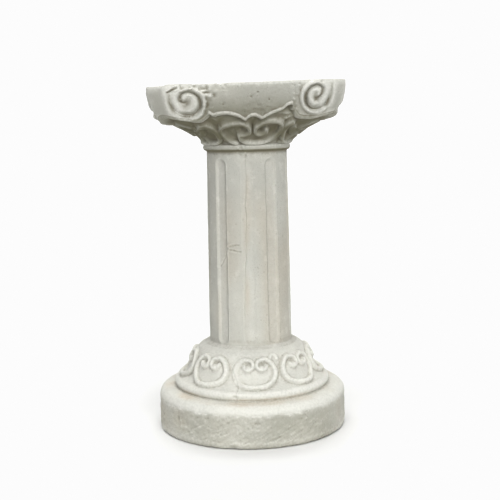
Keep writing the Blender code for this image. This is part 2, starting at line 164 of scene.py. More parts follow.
def bezier_chain(points, count):
    """A smooth curve through the points, as a list of (r, z)."""
    p = np.array(points, float)
    p = np.vstack([2 * p[0] - p[1], p, 2 * p[-1] - p[-2]])
    out = []
    spans = len(p) - 3
    for i in range(spans):
        a, b, c, d = p[i], p[i + 1], p[i + 2], p[i + 3]
        t = np.linspace(0, 1, count, endpoint=(i == spans - 1))[:, None]
        out.append(0.5 * (2 * b + (c - a) * t + (2 * a - 5 * b + 4 * c - d) * t ** 2
                          + (3 * b - a - 3 * c + d) * t ** 3))
    return np.vstack(out)


def resample(path, step):
    path = np.asarray(path, float)
    run = np.r_[0, np.cumsum(np.linalg.norm(np.diff(path, axis=0), axis=1))]
    count = max(2, int(round(run[-1] / step)) + 1)
    at = np.linspace(0, run[-1], count)
    return np.stack([np.interp(at, run, path[:, k]) for k in range(path.shape[1])], 1)


def clipped_square(theta, sides, corners, sharp):
    """Distance from the axis to a square with clipped, softened corners."""
    total = 0.0
    for k in range(4):
        total = total + (np.maximum(np.cos(theta - k * np.pi / 2), 0.0) / sides[k]) ** sharp
        total = total + (np.maximum(np.cos(theta - (k + 0.5) * np.pi / 2), 0.0) / corners[k]) ** sharp
    return total ** (-1.0 / sharp)


def face_angle(theta):
    """Angle from the nearest face centre, -45 to 45 degrees, in radians."""
    return (theta + np.pi / 4) % (np.pi / 2) - np.pi / 4


def side_planes():
    """Distances from the axis to the four sides: front, right, back, left."""
    return [HALF_SIDE, HALF_SIDE + BLOCK_SHIFT, HALF_SIDE, HALF_SIDE - BLOCK_SHIFT]


def along_face(theta):
    """Distance along the nearest side, from the axis, positive to its right."""
    nearest = np.round(theta / (np.pi / 2)).astype(int) % 4
    return np.array(side_planes())[nearest] * np.tan(face_angle(theta))


def clip_starts():
    """Where the clipped corners start on each side, as (left end, right end)."""
    planes = side_planes()
    clips = [CLIP_RIGHT, CLIP_RIGHT, CLIP_LEFT, CLIP_LEFT]
    return [(planes[(k + 3) % 4] - clips[(k + 3) % 4], planes[(k + 1) % 4] - clips[k]) for k in range(4)]


def volute_shift(face, sign):
    """How far a volute is moved out to touch its own corner."""
    start = clip_starts()[face][1 if sign > 0 else 0]
    return start - 0.0340 - VOLUTE_X


def across_face(theta):
    """Distance from the middle of a side, stretched so that every volute is at VOLUTE_X."""
    nearest = np.round(theta / (np.pi / 2)).astype(int) % 4
    x = along_face(theta)
    shift = np.array([[volute_shift(k, -1), volute_shift(k, 1)] for k in range(4)])
    return np.abs(x) - shift[nearest, (x > 0).astype(int)] * smooth((np.abs(x) - 0.030) / 0.030)


def lean(z):
    """How far the sides and corners draw in towards their foot."""
    t = np.clip((0.604 - z) / 0.048, 0.0, 1.25)
    return 0.0180 * t ** 1.55


def field_sink(x):
    """How far the plain field between the volutes is sunk."""
    return FIELD_SINK * (1 - smooth((x - 0.1160) / 0.0120))


def block_radius(theta, z):
    sink = field_sink(across_face(theta))
    draw = lean(z)
    planes = side_planes()
    clips = [CLIP_RIGHT, CLIP_RIGHT, CLIP_LEFT, CLIP_LEFT]
    sides = [p - draw - sink for p in planes]
    corners = [(planes[k] + planes[(k + 1) % 4] - 1.5 * draw - clips[k]) / np.sqrt(2.0) for k in range(4)]
    return clipped_square(theta, sides, corners, 90.0)


def lip_height(x):
    """The scalloped lip, by distance along a side."""
    off = np.abs(x - CUSP_SHIFT)
    middle = CUSP_Z + 0.0070 * (1 - (off / CUSP_X) ** 2)
    t = np.clip((off - CUSP_X) / (LIP_END + CUSP_SHIFT - CUSP_X), 0.0, 1.0)
    side = CUSP_Z + 0.0105 * np.sin(np.pi * t ** 1.25) ** 0.8 + 0.0010 * t
    return np.where(off < CUSP_X, middle, side)


def on_lip(theta):
    """1 along the scalloped lip, 0 at the volutes and corners."""
    return 1 - smooth((across_face(theta) - LIP_END - 0.0020) / 0.0100)


def block_foot(theta):
    """Height of the block's lower edge: scalloped lip, volutes, clipped corner."""
    along = along_face(theta)
    foot = lip_height(along)
    x = across_face(theta)
    drop = np.sqrt(np.clip(VOLUTE_R ** 2 - (x - VOLUTE_X) ** 2, 0, None))
    low = VOLUTE_Z - VOLUTE_R - 0.0036
    under = np.where(x > VOLUTE_X, low + 0.0050 * smooth((x - VOLUTE_X) / 0.05), VOLUTE_Z - drop * (1 + 0.0036 / VOLUTE_R))
    foot = np.where(x > VOLUTE_X - VOLUTE_R, np.minimum(foot, under), foot)
    seen = bezier_chain(FOOT_FRONT, 8) * 0.001
    front_foot = np.interp(along, seen[:, 0], seen[:, 1]) - TILT * along
    front_foot_end = (seen[0, 1] + TILT * HALF_SIDE, seen[-1, 1] - TILT * HALF_SIDE)
    nearest = np.round(theta / (np.pi / 2)).astype(int) % 4
    foot = foot + (nearest == 3) * (front_foot_end[0] - foot) * smooth((along - 0.120) / 0.040)
    foot = foot + (nearest == 1) * (front_foot_end[1] - foot) * smooth((-along - 0.120) / 0.040)
    return np.where(nearest == 0, front_foot, foot)


def bell_radius(theta, z):
    """Round at the neck, growing square towards the top."""
    heights = (0.5112, 0.5190, 0.5260, 0.5330, 0.5400, 0.5450, 0.5490, 0.5530, 0.5600, 0.5760)
    halves = (0.0755, 0.0815, 0.0895, 0.0985, 0.1098, 0.1192, 0.1262, 0.1315, 0.1365, 0.1385)
    square = (0.00, 0.05, 0.15, 0.30, 0.46, 0.60, 0.70, 0.78, 0.88, 0.95)
    half = np.interp(z, heights, halves)
    w = np.interp(z, heights, square)
    ratio = clipped_square(theta, [1.0] * 4, [1.280] * 4, 40.0)
    return half * (1 + w * (ratio - 1))


def ring_rows(points, columns):
    pts = np.asarray(points, float)
    return (np.repeat(pts[:, :1], columns, 1), np.repeat(pts[:, 1:], columns, 1))


def base_surface(columns, fine):
    """Radius and height of every row of the plain body; fine scales the row spacing."""
    theta = np.linspace(0, 2 * np.pi, columns, endpoint=False)
    step = 0.0016 * fine
    parts = []

    def add(tag, r, z):
        parts.append((tag, r, z))

    foot = [(0.040, 0.0), (0.080, 0.0), (0.120, 0.0), (0.150, 0.0)]
    add("under", *ring_rows(foot, columns))
    edge = arc(DRUM_R - DRUM_FOOT_ROUND, DRUM_FOOT_ROUND, DRUM_FOOT_ROUND, -90, 0, 6)
    add("foot", *ring_rows(edge, columns))
    side = [(DRUM_R, DRUM_FOOT_ROUND + 0.001), (DRUM_R, DRUM_SIDE_TOP - 0.0005)]
    add("side", *ring_rows(resample(side, 2 * step), columns))
    shoulder = arc(DRUM_R - DRUM_SHOULDER_ROUND, DRUM_SIDE_TOP, DRUM_SHOULDER_ROUND, 0, 84, 12)
    shoulder += [(RING_SEAT_R + 0.001, SHELF_Z)]
    add("shoulder", *ring_rows(resample(shoulder, step), columns))
    ring = arc(RING_CENTRE_R, RING_CENTRE_Z, RING_ROUND, -46, 92, 16)
    add("ring", *ring_rows(resample(ring, step), columns))
    stage = bezier_chain([STAGE_FOOT, STAGE_LOW, STAGE_MID, STAGE_HIGH, STAGE_TOP], 16)
    add("stage", *ring_rows(resample(stage, 0.75 * step)[0:], columns))
    toe = [(0.0790, 0.1545), (0.0757, 0.1562)]
    add("toe", *ring_rows(toe, columns))
    shaft = [(SHAFT_FOOT_R, SHAFT_FOOT_Z), (SHAFT_TOP_R, SHAFT_TOP_Z)]
    add("shaft", *ring_rows(resample(shaft, 1.5 * step), columns))
    neck = arc(SHAFT_TOP_R, NECK_Z, NECK_ROUND, -84, 80, 12)
    add("neck", *ring_rows(resample(neck, step), columns))

    foot_z = block_foot(theta)
    rows = int(0.075 / step)
    t = np.linspace(0, 1, rows)[:, None]
    z = BELL_LOW_Z + (foot_z[None, :] - BELL_LOW_Z) * (0.55 * t + 0.45 * t ** 0.6)
    r = bell_radius(theta[None, :], z)
    add("bell", r, z)

    bell_r = r[-1]
    start_z = foot_z + LIP_THICK
    lip = on_lip(theta)
    edge_r = block_radius(theta, foot_z + 0.5 * LIP_THICK) + LIP_PROUD * lip
    for k in (0.12, 0.42, 0.72):
        add("bridge", (bell_r + (edge_r - 0.0012 - bell_r) * k)[None, :],
            (foot_z - 0.0006 * np.sin(np.pi * k))[None, :])
    for back, round_back, up in ((0.0014, 1.1, 0.02), (0.0006, 0.7, 0.16), (0.0001, 0.38, 0.36),
                                 (0.0, 0.2, 0.52), (0.0004, 0.08, 0.68), (0.0016, 0.0, 0.84)):
        out = edge_r - back * lip - FOOT_ROUND * round_back * (1 - lip)
        add("lip", out[None, :], (foot_z + up * LIP_THICK)[None, :])

    rows = int(0.056 / step)
    t = np.linspace(0, 1, rows)[:, None]
    z = start_z[None, :] + (HEIGHT - ARRIS - start_z[None, :]) * t
    r = block_radius(theta[None, :], z)
    add("block", r, z)
    top = r[-1]
    for a in (30, 60, 90):
        a = np.radians(a)
        add("arris", (top - ARRIS * (1 - np.cos(a)))[None, :],
            np.full((1, columns), HEIGHT - ARRIS + ARRIS * np.sin(a)))
    for k in np.linspace(0.97, 0.03, 30):
        add("top", ((top - ARRIS) * k)[None, :], np.full((1, columns), HEIGHT))
    tags = np.concatenate([[tag] * len(r) for tag, r, z in parts])
    radius = np.vstack([r for tag, r, z in parts])
    height = np.vstack([z for tag, r, z in parts])
    return theta, tags, radius, height


def points_of(theta, radius, height):
    """Front (angle 0) faces -Y and angles grow towards +X."""
    return np.stack([radius * np.sin(theta), -radius * np.cos(theta), height], -1)


def normals_of(points):
    around = np.roll(points, -1, 1) - np.roll(points, 1, 1)
    along = np.gradient(points, axis=0)
    n = np.cross(around, along)
    return n / np.maximum(np.linalg.norm(n, axis=-1, keepdims=True), 1e-12)


def distance_to(path, q):
    """Distance and run fraction from each point of q to a polyline."""
    best = np.full(len(q), 1e9)
    at = np.zeros(len(q))
    run = np.r_[0, np.cumsum(np.linalg.norm(np.diff(path, axis=0), axis=1))]
    for i in range(len(path) - 1):
        a, b = path[i], path[i + 1]
        ab = b - a
        size = max(float(ab @ ab), 1e-18)
        t = np.clip((q - a) @ ab / size, 0, 1)
        d = np.linalg.norm(q - (a + t[:, None] * ab), axis=1)
        closer = d < best
        best[closer] = d[closer]
        at[closer] = (run[i] + t[closer] * (run[i + 1] - run[i])) / run[-1]
    return best, at


def ridge(d, half_width):
    """A rounded cord: 1 on its line, 0 from half_width on."""
    x = np.clip(d / half_width, 0, 1)
    return np.sqrt(np.clip(1 - x * x, 0, 1)) * (1 - x ** 4)


def half_panel_path():
    """One side of a panel's cord: up the side, over the top and into its curl."""
    w, h = PANEL_HALF_W, PANEL_TALL
    mid = 0.54 * h
    low = []
    for a in np.radians(np.linspace(0, 90, 14)):
        low.append((w * np.sin(a) * (1 - 0.10 * np.cos(a)), mid - mid * np.cos(a)))
    cx, cy = PANEL_CURL_X, PANEL_CURL_V
    high = []
    for a in np.linspace(6, 78, 10):
        t = (a - 6) / 72
        edge = (w - 0.0210 + 0.0210 * np.cos(np.radians(a)), mid + (0.985 * h - mid) * np.sin(np.radians(a)))
        high.append(edge)
    curl = []
    for a in np.linspace(84, 352, 24):
        turn = (a - 84) / 268
        radius = PANEL_CURL_R * (1 - 0.34 * turn)
        curl.append((cx + radius * np.cos(np.radians(a)), cy + radius * np.sin(np.radians(a))))
    return np.array(low + high + curl)


def inside(poly, q):
    hit = np.zeros(len(q), bool)
    n = len(poly)
    for i in range(n):
        (x0, y0), (x1, y1) = poly[i], poly[(i + 1) % n]
        cross = (y0 > q[:, 1]) != (y1 > q[:, 1])
        with np.errstate(divide="ignore", invalid="ignore"):
            hit ^= cross & (q[:, 0] < (x1 - x0) * (q[:, 1] - y0) / (y1 - y0) + x0)
    return hit


def panel_relief(u, v):
    """Height of a panel at (u across, v up the slope)."""
    path = resample(half_panel_path(), 0.0012)
    q = np.stack([np.abs(u), v - PANEL_LOW], 1)
    d, at = distance_to(path, q)
    outline = half_panel_path()[:24]
    loop = np.vstack([outline, [[0.0, PANEL_TALL * 0.97]], [[-0.001, 0.0]]])
    within = inside(loop, q)
    edge, _ = distance_to(resample(np.vstack([outline, [[0.0, PANEL_TALL * 0.97]]]), 0.0015), q)
    plate = np.where(within, 1.0, 1 - smooth((edge - 0.0035) / 0.0022))
    fade = 1 - smooth((q[:, 1] - 0.86 * PANEL_TALL) / (0.22 * PANEL_TALL))
    curl = smooth((at - 0.60) / 0.08)
    cord = ridge(d, PANEL_CORD * (1 - 0.12 * curl)) * (PANEL_RIM + 0.0012 * curl)
    bowl = np.where(within, 0.0012 * (1 - smooth((0.012 - d) / 0.010)), 0.0)
    eye = np.hypot(q[:, 0] - PANEL_CURL_X + 0.0006, q[:, 1] - PANEL_CURL_V + 0.0056)
    knob = 0.0046 * ridge(eye, 0.0070)
    above = np.exp(-((q[:, 0] - PANEL_CURL_X) / 0.0062) ** 2 - ((q[:, 1] - PANEL_CURL_V - 0.0030) / 0.0030) ** 2)
    bowl = bowl + 0.0022 * above + np.where(within, 0.0010 * np.exp(-((edge - 0.0062) / 0.0022) ** 2), 0.0)
    return PANEL_RISE * plate * (0.35 + 0.65 * fade) - bowl + np.maximum(cord, knob)


def loop_points(half_deg):
    """One side of a bell loop's cord as (degrees from its middle, share of the bell's height)."""
    w = half_deg
    path = [(0.0, 0.035), (0.34 * w, 0.035), (0.72 * w, 0.13), (0.95 * w, 0.28), (1.00 * w, 0.46),
            (0.93 * w, 0.60), (0.75 * w, 0.74), (0.56 * w, 0.78), (0.36 * w, 0.73), (0.19 * w, 0.62),
            (0.13 * w, 0.47), (0.21 * w, 0.35), (0.40 * w, 0.36), (0.50 * w, 0.46)]
    return bezier_chain(path, 8)


def add_panels(theta, tags, points, normals, lift):
    rows = np.where((tags == "stage") | (tags == "toe"))[0]
    run = np.r_[0, np.cumsum(np.linalg.norm(np.diff(points[rows, 0], axis=0), axis=1))]
    mid_r = 0.105
    for k in range(PANELS):
        centre = k * 2 * np.pi / PANELS
        off = (theta - centre + np.pi) % (2 * np.pi) - np.pi
        cols = np.where(np.abs(off) < np.pi / PANELS * 1.02)[0]
        u, v = np.meshgrid(off[cols] * mid_r, run)
        h = panel_relief(u.ravel(), v.ravel()).reshape(u.shape)
        block = np.ix_(rows, cols)
        lift[block] = np.maximum(lift[block], h)


def add_loops(theta, tags, points, lift, skip_front=False):
    rows = np.where(tags == "bell")[0]
    pts = points[rows]
    columns = len(theta)
    for k in range(PANELS):
        half_deg = LOOP_FACE_DEG if k % 2 == 0 else LOOP_CORNER_DEG
        centre = k * 2 * np.pi / PANELS + (np.radians(LOOP_FACE_TURN) if k % 2 == 0 else 0.0)
        path = loop_points(half_deg)
        off = (theta - centre + np.pi) % (2 * np.pi) - np.pi
        near = np.where(np.abs(off) < np.radians(half_deg * 1.25))[0]
        for sign in (1, -1):
            if skip_front and (k == 0 or (k == 1 and sign == -1) or (k == 7 and sign == 1)):
                continue
            line = []
            for deg, share in path:
                a = centre + sign * np.radians(deg)
                col = (a / (2 * np.pi) * columns) % columns
                c0 = int(col) % columns
                c1 = (c0 + 1) % columns
                z_low, z_high = BELL_LOW_Z, 0.5640
                z = z_low + (z_high - z_low) * share
                both = []
                for c in (c0, c1):
                    both.append([np.interp(z, pts[:, c, 2], pts[:, c, j]) for j in range(3)])
                f = col - int(col)
                line.append((1 - f) * np.array(both[0]) + f * np.array(both[1]))
            line = resample(np.array(line), 0.0015)
            cols = near[(off[near] * sign) > -np.radians(3)]
            block = np.ix_(rows, cols)
            q = points[block].reshape(-1, 3)
            d, at = distance_to(line, q)
            cord = ridge(d, LOOP_CORD) * LOOP_RIM
            lift[block] = np.maximum(lift[block], cord.reshape(len(rows), len(cols)))


def add_volutes(theta, tags, points):
    """Raises and carves the spirals straight out of each side of the block."""
    rows = np.where((tags == "lip") | (tags == "block") | (tags == "arris"))[0]
    for k in range(4):
        centre = k * np.pi / 2
        off = (theta - centre + np.pi) % (2 * np.pi) - np.pi
        out = np.array([np.sin(centre), -np.cos(centre), 0.0])
        along = np.array([np.cos(centre), np.sin(centre), 0.0])
        for sign in (1, -1):
            near = (off * sign > np.arctan2(0.055, HALF_SIDE)) & (off * sign < np.pi / 4)
            cols = np.where(near)[0]
            block = np.ix_(rows, cols)
            q = points[block].reshape(-1, 3)
            x = (q @ along) * sign - volute_shift(k, sign)
            crest, channel = (CREST_RIGHT, CHANNEL_RIGHT) if sign > 0 else (CREST_LEFT, CHANNEL_LEFT)
            if k == 0:
                px, py = in_frame(q)
            else:
                mid_x, mid_y = (315.8, 97.0) if sign > 0 else (185.5, 101.5)
                px = mid_x + sign * (x - VOLUTE_X) * 1000 / PX_MM
                py = mid_y - (q[:, 2] - VOLUTE_Z) * 1000 / PX_MM
            h = volute_surface(px, py, x, crest, channel) + field_sink(x)
            h = h * (1 - smooth((x - VOLUTE_X - VOLUTE_R + 0.0020) / 0.0030)) * smooth((x - 0.0600) / 0.0100)
            q = q + out * h[:, None]
            points[block] = q.reshape(len(rows), len(cols), 3)


def flute_angles():
    return FLUTE_FIRST + np.arange(FLUTES) * 2 * np.pi / FLUTES


def flute_relief(across, z):
    """Shallow groove with a flat floor, steep sides and round ends."""
    low, high = FLUTE_LOW_Z + FLUTE_HALF_W, FLUTE_HIGH_Z - FLUTE_HALF_W
    past = np.maximum(np.maximum(low - z, z - high), 0.0)
    d = np.hypot(across, past)
    floor = 1 - smooth((d - 0.66 * FLUTE_HALF_W) / (0.48 * FLUTE_HALF_W))
    lip = np.exp(-((d - 1.16 * FLUTE_HALF_W) / 0.0020) ** 2)
    return -FLUTE_DEPTH * floor * (0.82 + 0.18 * (1 - np.clip(d / FLUTE_HALF_W, 0, 1) ** 2)) + 0.0003 * lip


def add_flutes(theta, tags, points, lift):
    rows = np.where(tags == "shaft")[0]
    for a in flute_angles():
        if 0.5 < a < 0.8:
            a = a - np.radians(5.0)
        off = (theta - a + np.pi) % (2 * np.pi) - np.pi
        cols = np.where(np.abs(off) < 0.18)[0]
        z = points[rows, 0, 2]
        r = np.hypot(points[rows, 0, 0], points[rows, 0, 1])
        across = r[:, None] * off[cols][None, :]
        block = np.ix_(rows, cols)
        lift[block] += flute_relief(across, np.repeat(z[:, None], len(cols), 1))


def closed_mesh(name, points):
    """Closes the rows into one body with a point in the middle of each end."""
    rows, cols = points.shape[:2]
    verts = points.reshape(-1, 3)
    low = [[0.0, 0.0, points[0, 0, 2]]]
    high = [[0.0, 0.0, points[-1, 0, 2]]]
    verts = np.vstack([verts, low, high])
    i = np.arange(rows - 1)[:, None] * cols
    j = np.arange(cols)[None, :]
    k = (j + 1) % cols
    a, b, c, d = i + j, i + k, i + cols + k, i + cols + j
    quads = np.stack([a, b, c, d], -1).reshape(-1, 4)
    ring = np.arange(cols)
    after = (ring + 1) % cols
    bottom = rows * cols
    top = bottom + 1
    last = (rows - 1) * cols
    faces = quads.tolist()
    faces += [[int(after[n]), int(ring[n]), bottom] for n in range(cols)]
    faces += [[last + int(ring[n]), last + int(after[n]), top] for n in range(cols)]
    mesh = bpy.data.meshes.new(name)
    mesh.from_pydata(verts.tolist(), [], faces)
    mesh.update()
    return mesh


# ---- the front as it came out of its mould ---------------------------------
TILT = 0.0135               # the block leans this much down to its left

# lower edge of the block's front from its left corner to its right one, in millimetres
FOOT_FRONT = ((-164, 557.4), (-157, 556.9), (-148, 555.8), (-139, 554.2), (-130.9, 552.7), (-121.2, 551.2), (-113.2, 549.6), (-103.4, 549.2), (-96.9, 550.6),
              (-88.6, 554.0), (-83.6, 556.6), (-78.6, 559.8), (-74.8, 561.8), (-72.4, 561.6), (-70.0, 560.2),
              (-66.5, 558.8), (-60.7, 560.4), (-50.9, 561.4), (-39.5, 561.2), (-29.8, 559.2), (-20.0, 556.2),
              (-13.0, 552.4), (-8.6, 551.0), (-4.0, 554.6), (2.9, 557.4), (10.0, 557.4), (17.0, 555.0), (22.6, 552.6),
              (28.5, 555.2), (38.8, 560.0), (48.6, 563.4), (57.5, 566.8), (61.5, 570.0), (64.6, 573.0), (69.5, 574.6),
              (74.3, 574.4), (76.8, 570.6), (79.2, 567.0), (81.7, 566.6), (84.4, 562.6), (87.8, 559.4), (94.6, 554.6),
              (102.9, 553.0), (111.2, 552.3), (119.5, 552.1), (127.7, 552.9), (137.3, 555.4), (148, 557.2), (157, 558.6), (164, 559.4))
# the two volutes of the front, by their place in the frame: crest of the cord
# from the corner inwards, and the bottom of the channel beside it
CREST_LEFT = ((164.5, 88), (164.5, 96), (165.5, 103), (169, 110.5), (174, 116), (180, 119.3), (187, 120.4), (194, 119),
              (200, 115), (203.6, 109), (204.3, 102), (202.6, 95.5), (198, 90.3), (192, 87.5), (186, 87), (180, 89),
              (176, 93.5), (174.5, 99), (176.5, 104.5), (181, 108.8), (186, 110.4), (191, 109.2), (194.6, 105.5),
              (195.3, 101), (193.3, 97), (189.6, 94.6), (186, 94.6), (184, 97))
CHANNEL_LEFT = ((168.5, 91), (169, 97), (170.5, 103), (174.5, 108.5), (180, 112.4), (186.5, 113.9), (192.5, 113.2),
                (197, 110.3), (199.5, 105.5), (199.3, 100), (196.8, 95.5), (192, 92.2), (187, 91), (182, 92.5),
                (179.3, 96), (179.5, 100), (182.5, 102), (185.5, 101.5))
CREST_RIGHT = ((335, 82), (335.5, 92), (334, 98), (331.5, 104), (327, 108.8), (321, 112), (315, 113.2), (309.5, 112.2),
               (305, 108.5), (302.5, 103), (301.8, 97), (303.5, 91), (307, 86), (311.5, 83), (317, 81.8), (322.5, 83),
               (326.3, 87), (327, 92), (325.5, 98), (322, 102.5), (317.3, 104.6), (312.8, 103.5), (310, 99.8),
               (309.8, 95.5), (312.3, 91.8), (316, 90.5), (318.8, 92.2), (318.6, 95))
CHANNEL_RIGHT = ((332, 84), (331.3, 90), (330, 96), (327, 102), (322.5, 106.5), (317, 109.3), (311.5, 109.3),
                 (307.8, 106), (306.3, 101), (306.6, 95.5), (309, 90), (313, 86.5), (317.5, 85.2), (321.5, 87),
                 (322.8, 90.5), (321.5, 94.5), (318.8, 97.5), (316.5, 99.3), (316.5, 101))
PX_MM = 1.63                # one pixel of the frame at the front of the block
# cords on the bell under the front side, by their place in the frame
CORD_LEFT = ((241.2, 134.4), (245.2, 134.1), (249.0, 132.0), (249.6, 128.2), (246.4, 124.4), (240.0, 122.6), (230.4, 123.5),
             (223.4, 125.4), (220.3, 128.2), (221.2, 132.2), (225.2, 136.6), (231.0, 140.6), (237.0, 143.2))
CORD_RIGHT = ((239.6, 134.8), (241.6, 139.2), (247.0, 142.0), (254.4, 142.9), (262.2, 141.5), (270.0, 138.0), (277.0, 133.0),
              (280.9, 127.4), (281.6, 123.0), (276.6, 120.6), (270.0, 120.8), (263.0, 122.6), (257.2, 125.6),
              (254.9, 129.4), (256.6, 132.5), (261.0, 133.1), (265.4, 131.0), (266.4, 128.8))
CORNER_LEFT = ((199.0, 126.0), (205.6, 125.2), (211.6, 127.6), (217.0, 132.2), (220.0, 137.4), (218.6, 142.2),
               (212.6, 144.8), (206.0, 143.8), (199.0, 140.0), (194.0, 136.0))
CORNER_RIGHT = ((293.0, 121.0), (287.4, 124.4), (284.0, 128.4), (282.2, 133.2), (281.6, 138.0), (283.6, 141.2),
                (287.2, 141.8), (291.4, 139.4), (296.0, 135.0))
CORNER_HOOK = ((295.0, 126.8), (291.7, 129.7), (290.0, 132.4))
CORD_BRANCH = ((281.2, 121.4), (285.9, 119.0), (290.8, 116.6), (293.8, 115.2))
NOTCH = ((167.4, 91.4), (169.6, 90.0), (173.0, 87.8), (176.0, 86.6))
STAGE_HOOK = ((269.6, 358.4), (270.2, 355.6), (272.2, 354.2), (275.0, 355.8), (276.6, 358.6))
CRACKS = (((227.1, 248.6), (232.0, 250.2), (240.7, 252.1)), ((227.8, 247.4), (232.0, 246.0), (238.6, 245.0)),
          ((227.1, 248.6), (225.0, 256.0), (222.4, 260.4), (219.3, 265.7)))
SEAM = ((0.0, -12.6), (14.4, -13.4), (50.0, -12.4), (75.0, -13.2), (84.2, -14.5), (94.4, -13.9),
        (106.6, -16.9), (128.0, -22.1), (149.8, -15.9), (159.3, -11.2), (239.6, -9.8), (323.0, -7.6),
        (414.7, -6.6), (474.8, -5.5), (490.2, -5.4), (502.5, -9.0), (512.0, -12.0), (540.0, -14.0), (612.0, -14.0))


def lattice(ix, iy, iz, seed):
    h = (ix * 374761393 + iy * 668265263 + iz * 1442695041 + seed * 1274126177) & 0xFFFFFFFF
    h = ((h ^ (h >> 13)) * 1274126177) & 0xFFFFFFFF
    h = ((h ^ (h >> 15)) * 668265263) & 0xFFFFFFFF
    return ((h ^ (h >> 16)) & 0xFFFF) / 65535.0


def grain(points, size, seed):
    """Soft noise from -1 to 1 with lumps of about that size."""
    q = np.asarray(points) / size + 500.0
    i = np.floor(q).astype(np.int64)
    f = q - i
    f = f * f * (3 - 2 * f)
    out = 0.0
    for dx in (0, 1):
        wx = f[..., 0] if dx else 1 - f[..., 0]
        for dy in (0, 1):
            wy = f[..., 1] if dy else 1 - f[..., 1]
            for dz in (0, 1):
                wz = f[..., 2] if dz else 1 - f[..., 2]
                out = out + wx * wy * wz * lattice(i[..., 0] + dx, i[..., 1] + dy, i[..., 2] + dz, seed)
    return 2 * out - 1


def blob(x, y, rx, ry):
    return np.exp(-(x / rx) ** 2 - (y / ry) ** 2)


def blurred(field, times, wide=1):
    """Running mean along the rows and columns of the carved grid."""
    out = field
    for _ in range(times):
        total = out.copy()
        for k in range(1, wide + 1):
            total = total + np.roll(out, k, 1) + np.roll(out, -k, 1)
        out = total / (2 * wide + 1)
        pad = np.concatenate([np.repeat(out[:1], wide, 0), out, np.repeat(out[-1:], wide, 0)])
        total = 0.0
        for k in range(2 * wide + 1):
            total = total + pad[k:k + len(out)]
        out = total / (2 * wide + 1)
    return out


def stroke(px, py, line, where):
    """Distance in the frame's pixels from each point to a line, far away elsewhere."""
    d = np.full(px.shape, 1e3)
    pts = np.array(line)
    near = where & (px > pts[:, 0].min() - 9) & (px < pts[:, 0].max() + 9)
    near &= (py > pts[:, 1].min() - 9) & (py < pts[:, 1].max() + 9)
    smooth_line = resample(bezier_chain(line, 8), 0.35) if len(line) > 2 else resample(line, 0.35)
    q = np.stack([px[near], py[near]], 1)
    d[near] = distance_to(smooth_line, q)[0]
    return d


def cut_volute(px, py, crest, channel):
    """Depth of a volute at places in the frame, and how far outside its outer crest they lie."""
    line = resample(bezier_chain(crest, 8), 0.4)
    low = resample(bezier_chain(channel, 8), 0.4)
    q = np.stack([px, py], 1)
    d_high, at = distance_to(line, q)
    d_low, along = distance_to(low, q)
    t = d_high / np.maximum(d_high + d_low, 1e-6)
    rim = 1 - smooth((at - 0.44) / 0.07)
    hollow = rim * (0.25 * t + 0.75 * smooth(t)) + (1 - rim) * (0.45 * smooth(t) + 0.55 * (1 - np.sqrt(np.clip(1 - t ** 2.4, 0, 1))))
    deep = np.interp(along, (0, 0.12, 0.28, 0.45, 0.80, 0.92, 1), (0.0014, 0.0024, 0.0066, 0.0108, 0.0112, 0.0094, 0.0080))
    carved = -deep * hollow
    first = np.array(crest[:16])
    away = np.array([[first[0, 0], first[0, 1] - 9], [first[-1, 0], first[-1, 1] - 9]])
    loop = np.vstack([first, away[1:], away[:1]])
    within = inside(loop, q)
    d_edge, _ = distance_to(resample(bezier_chain(crest[:14], 6), 0.4), q)
    return carved, np.where(within, 0.0, d_edge), within


def volute_surface(px, py, x, crest, channel):
    """Height over the plane of the side: volute inside its crest, falling to the field outside."""
    carved, off, within = cut_volute(px, py, crest, channel)
    fall = -FIELD_SINK * smooth(off * PX_MM * 0.001 / 0.0045)
    outside = np.maximum(fall, -field_sink(x))
    return np.where(within, carved, outside)


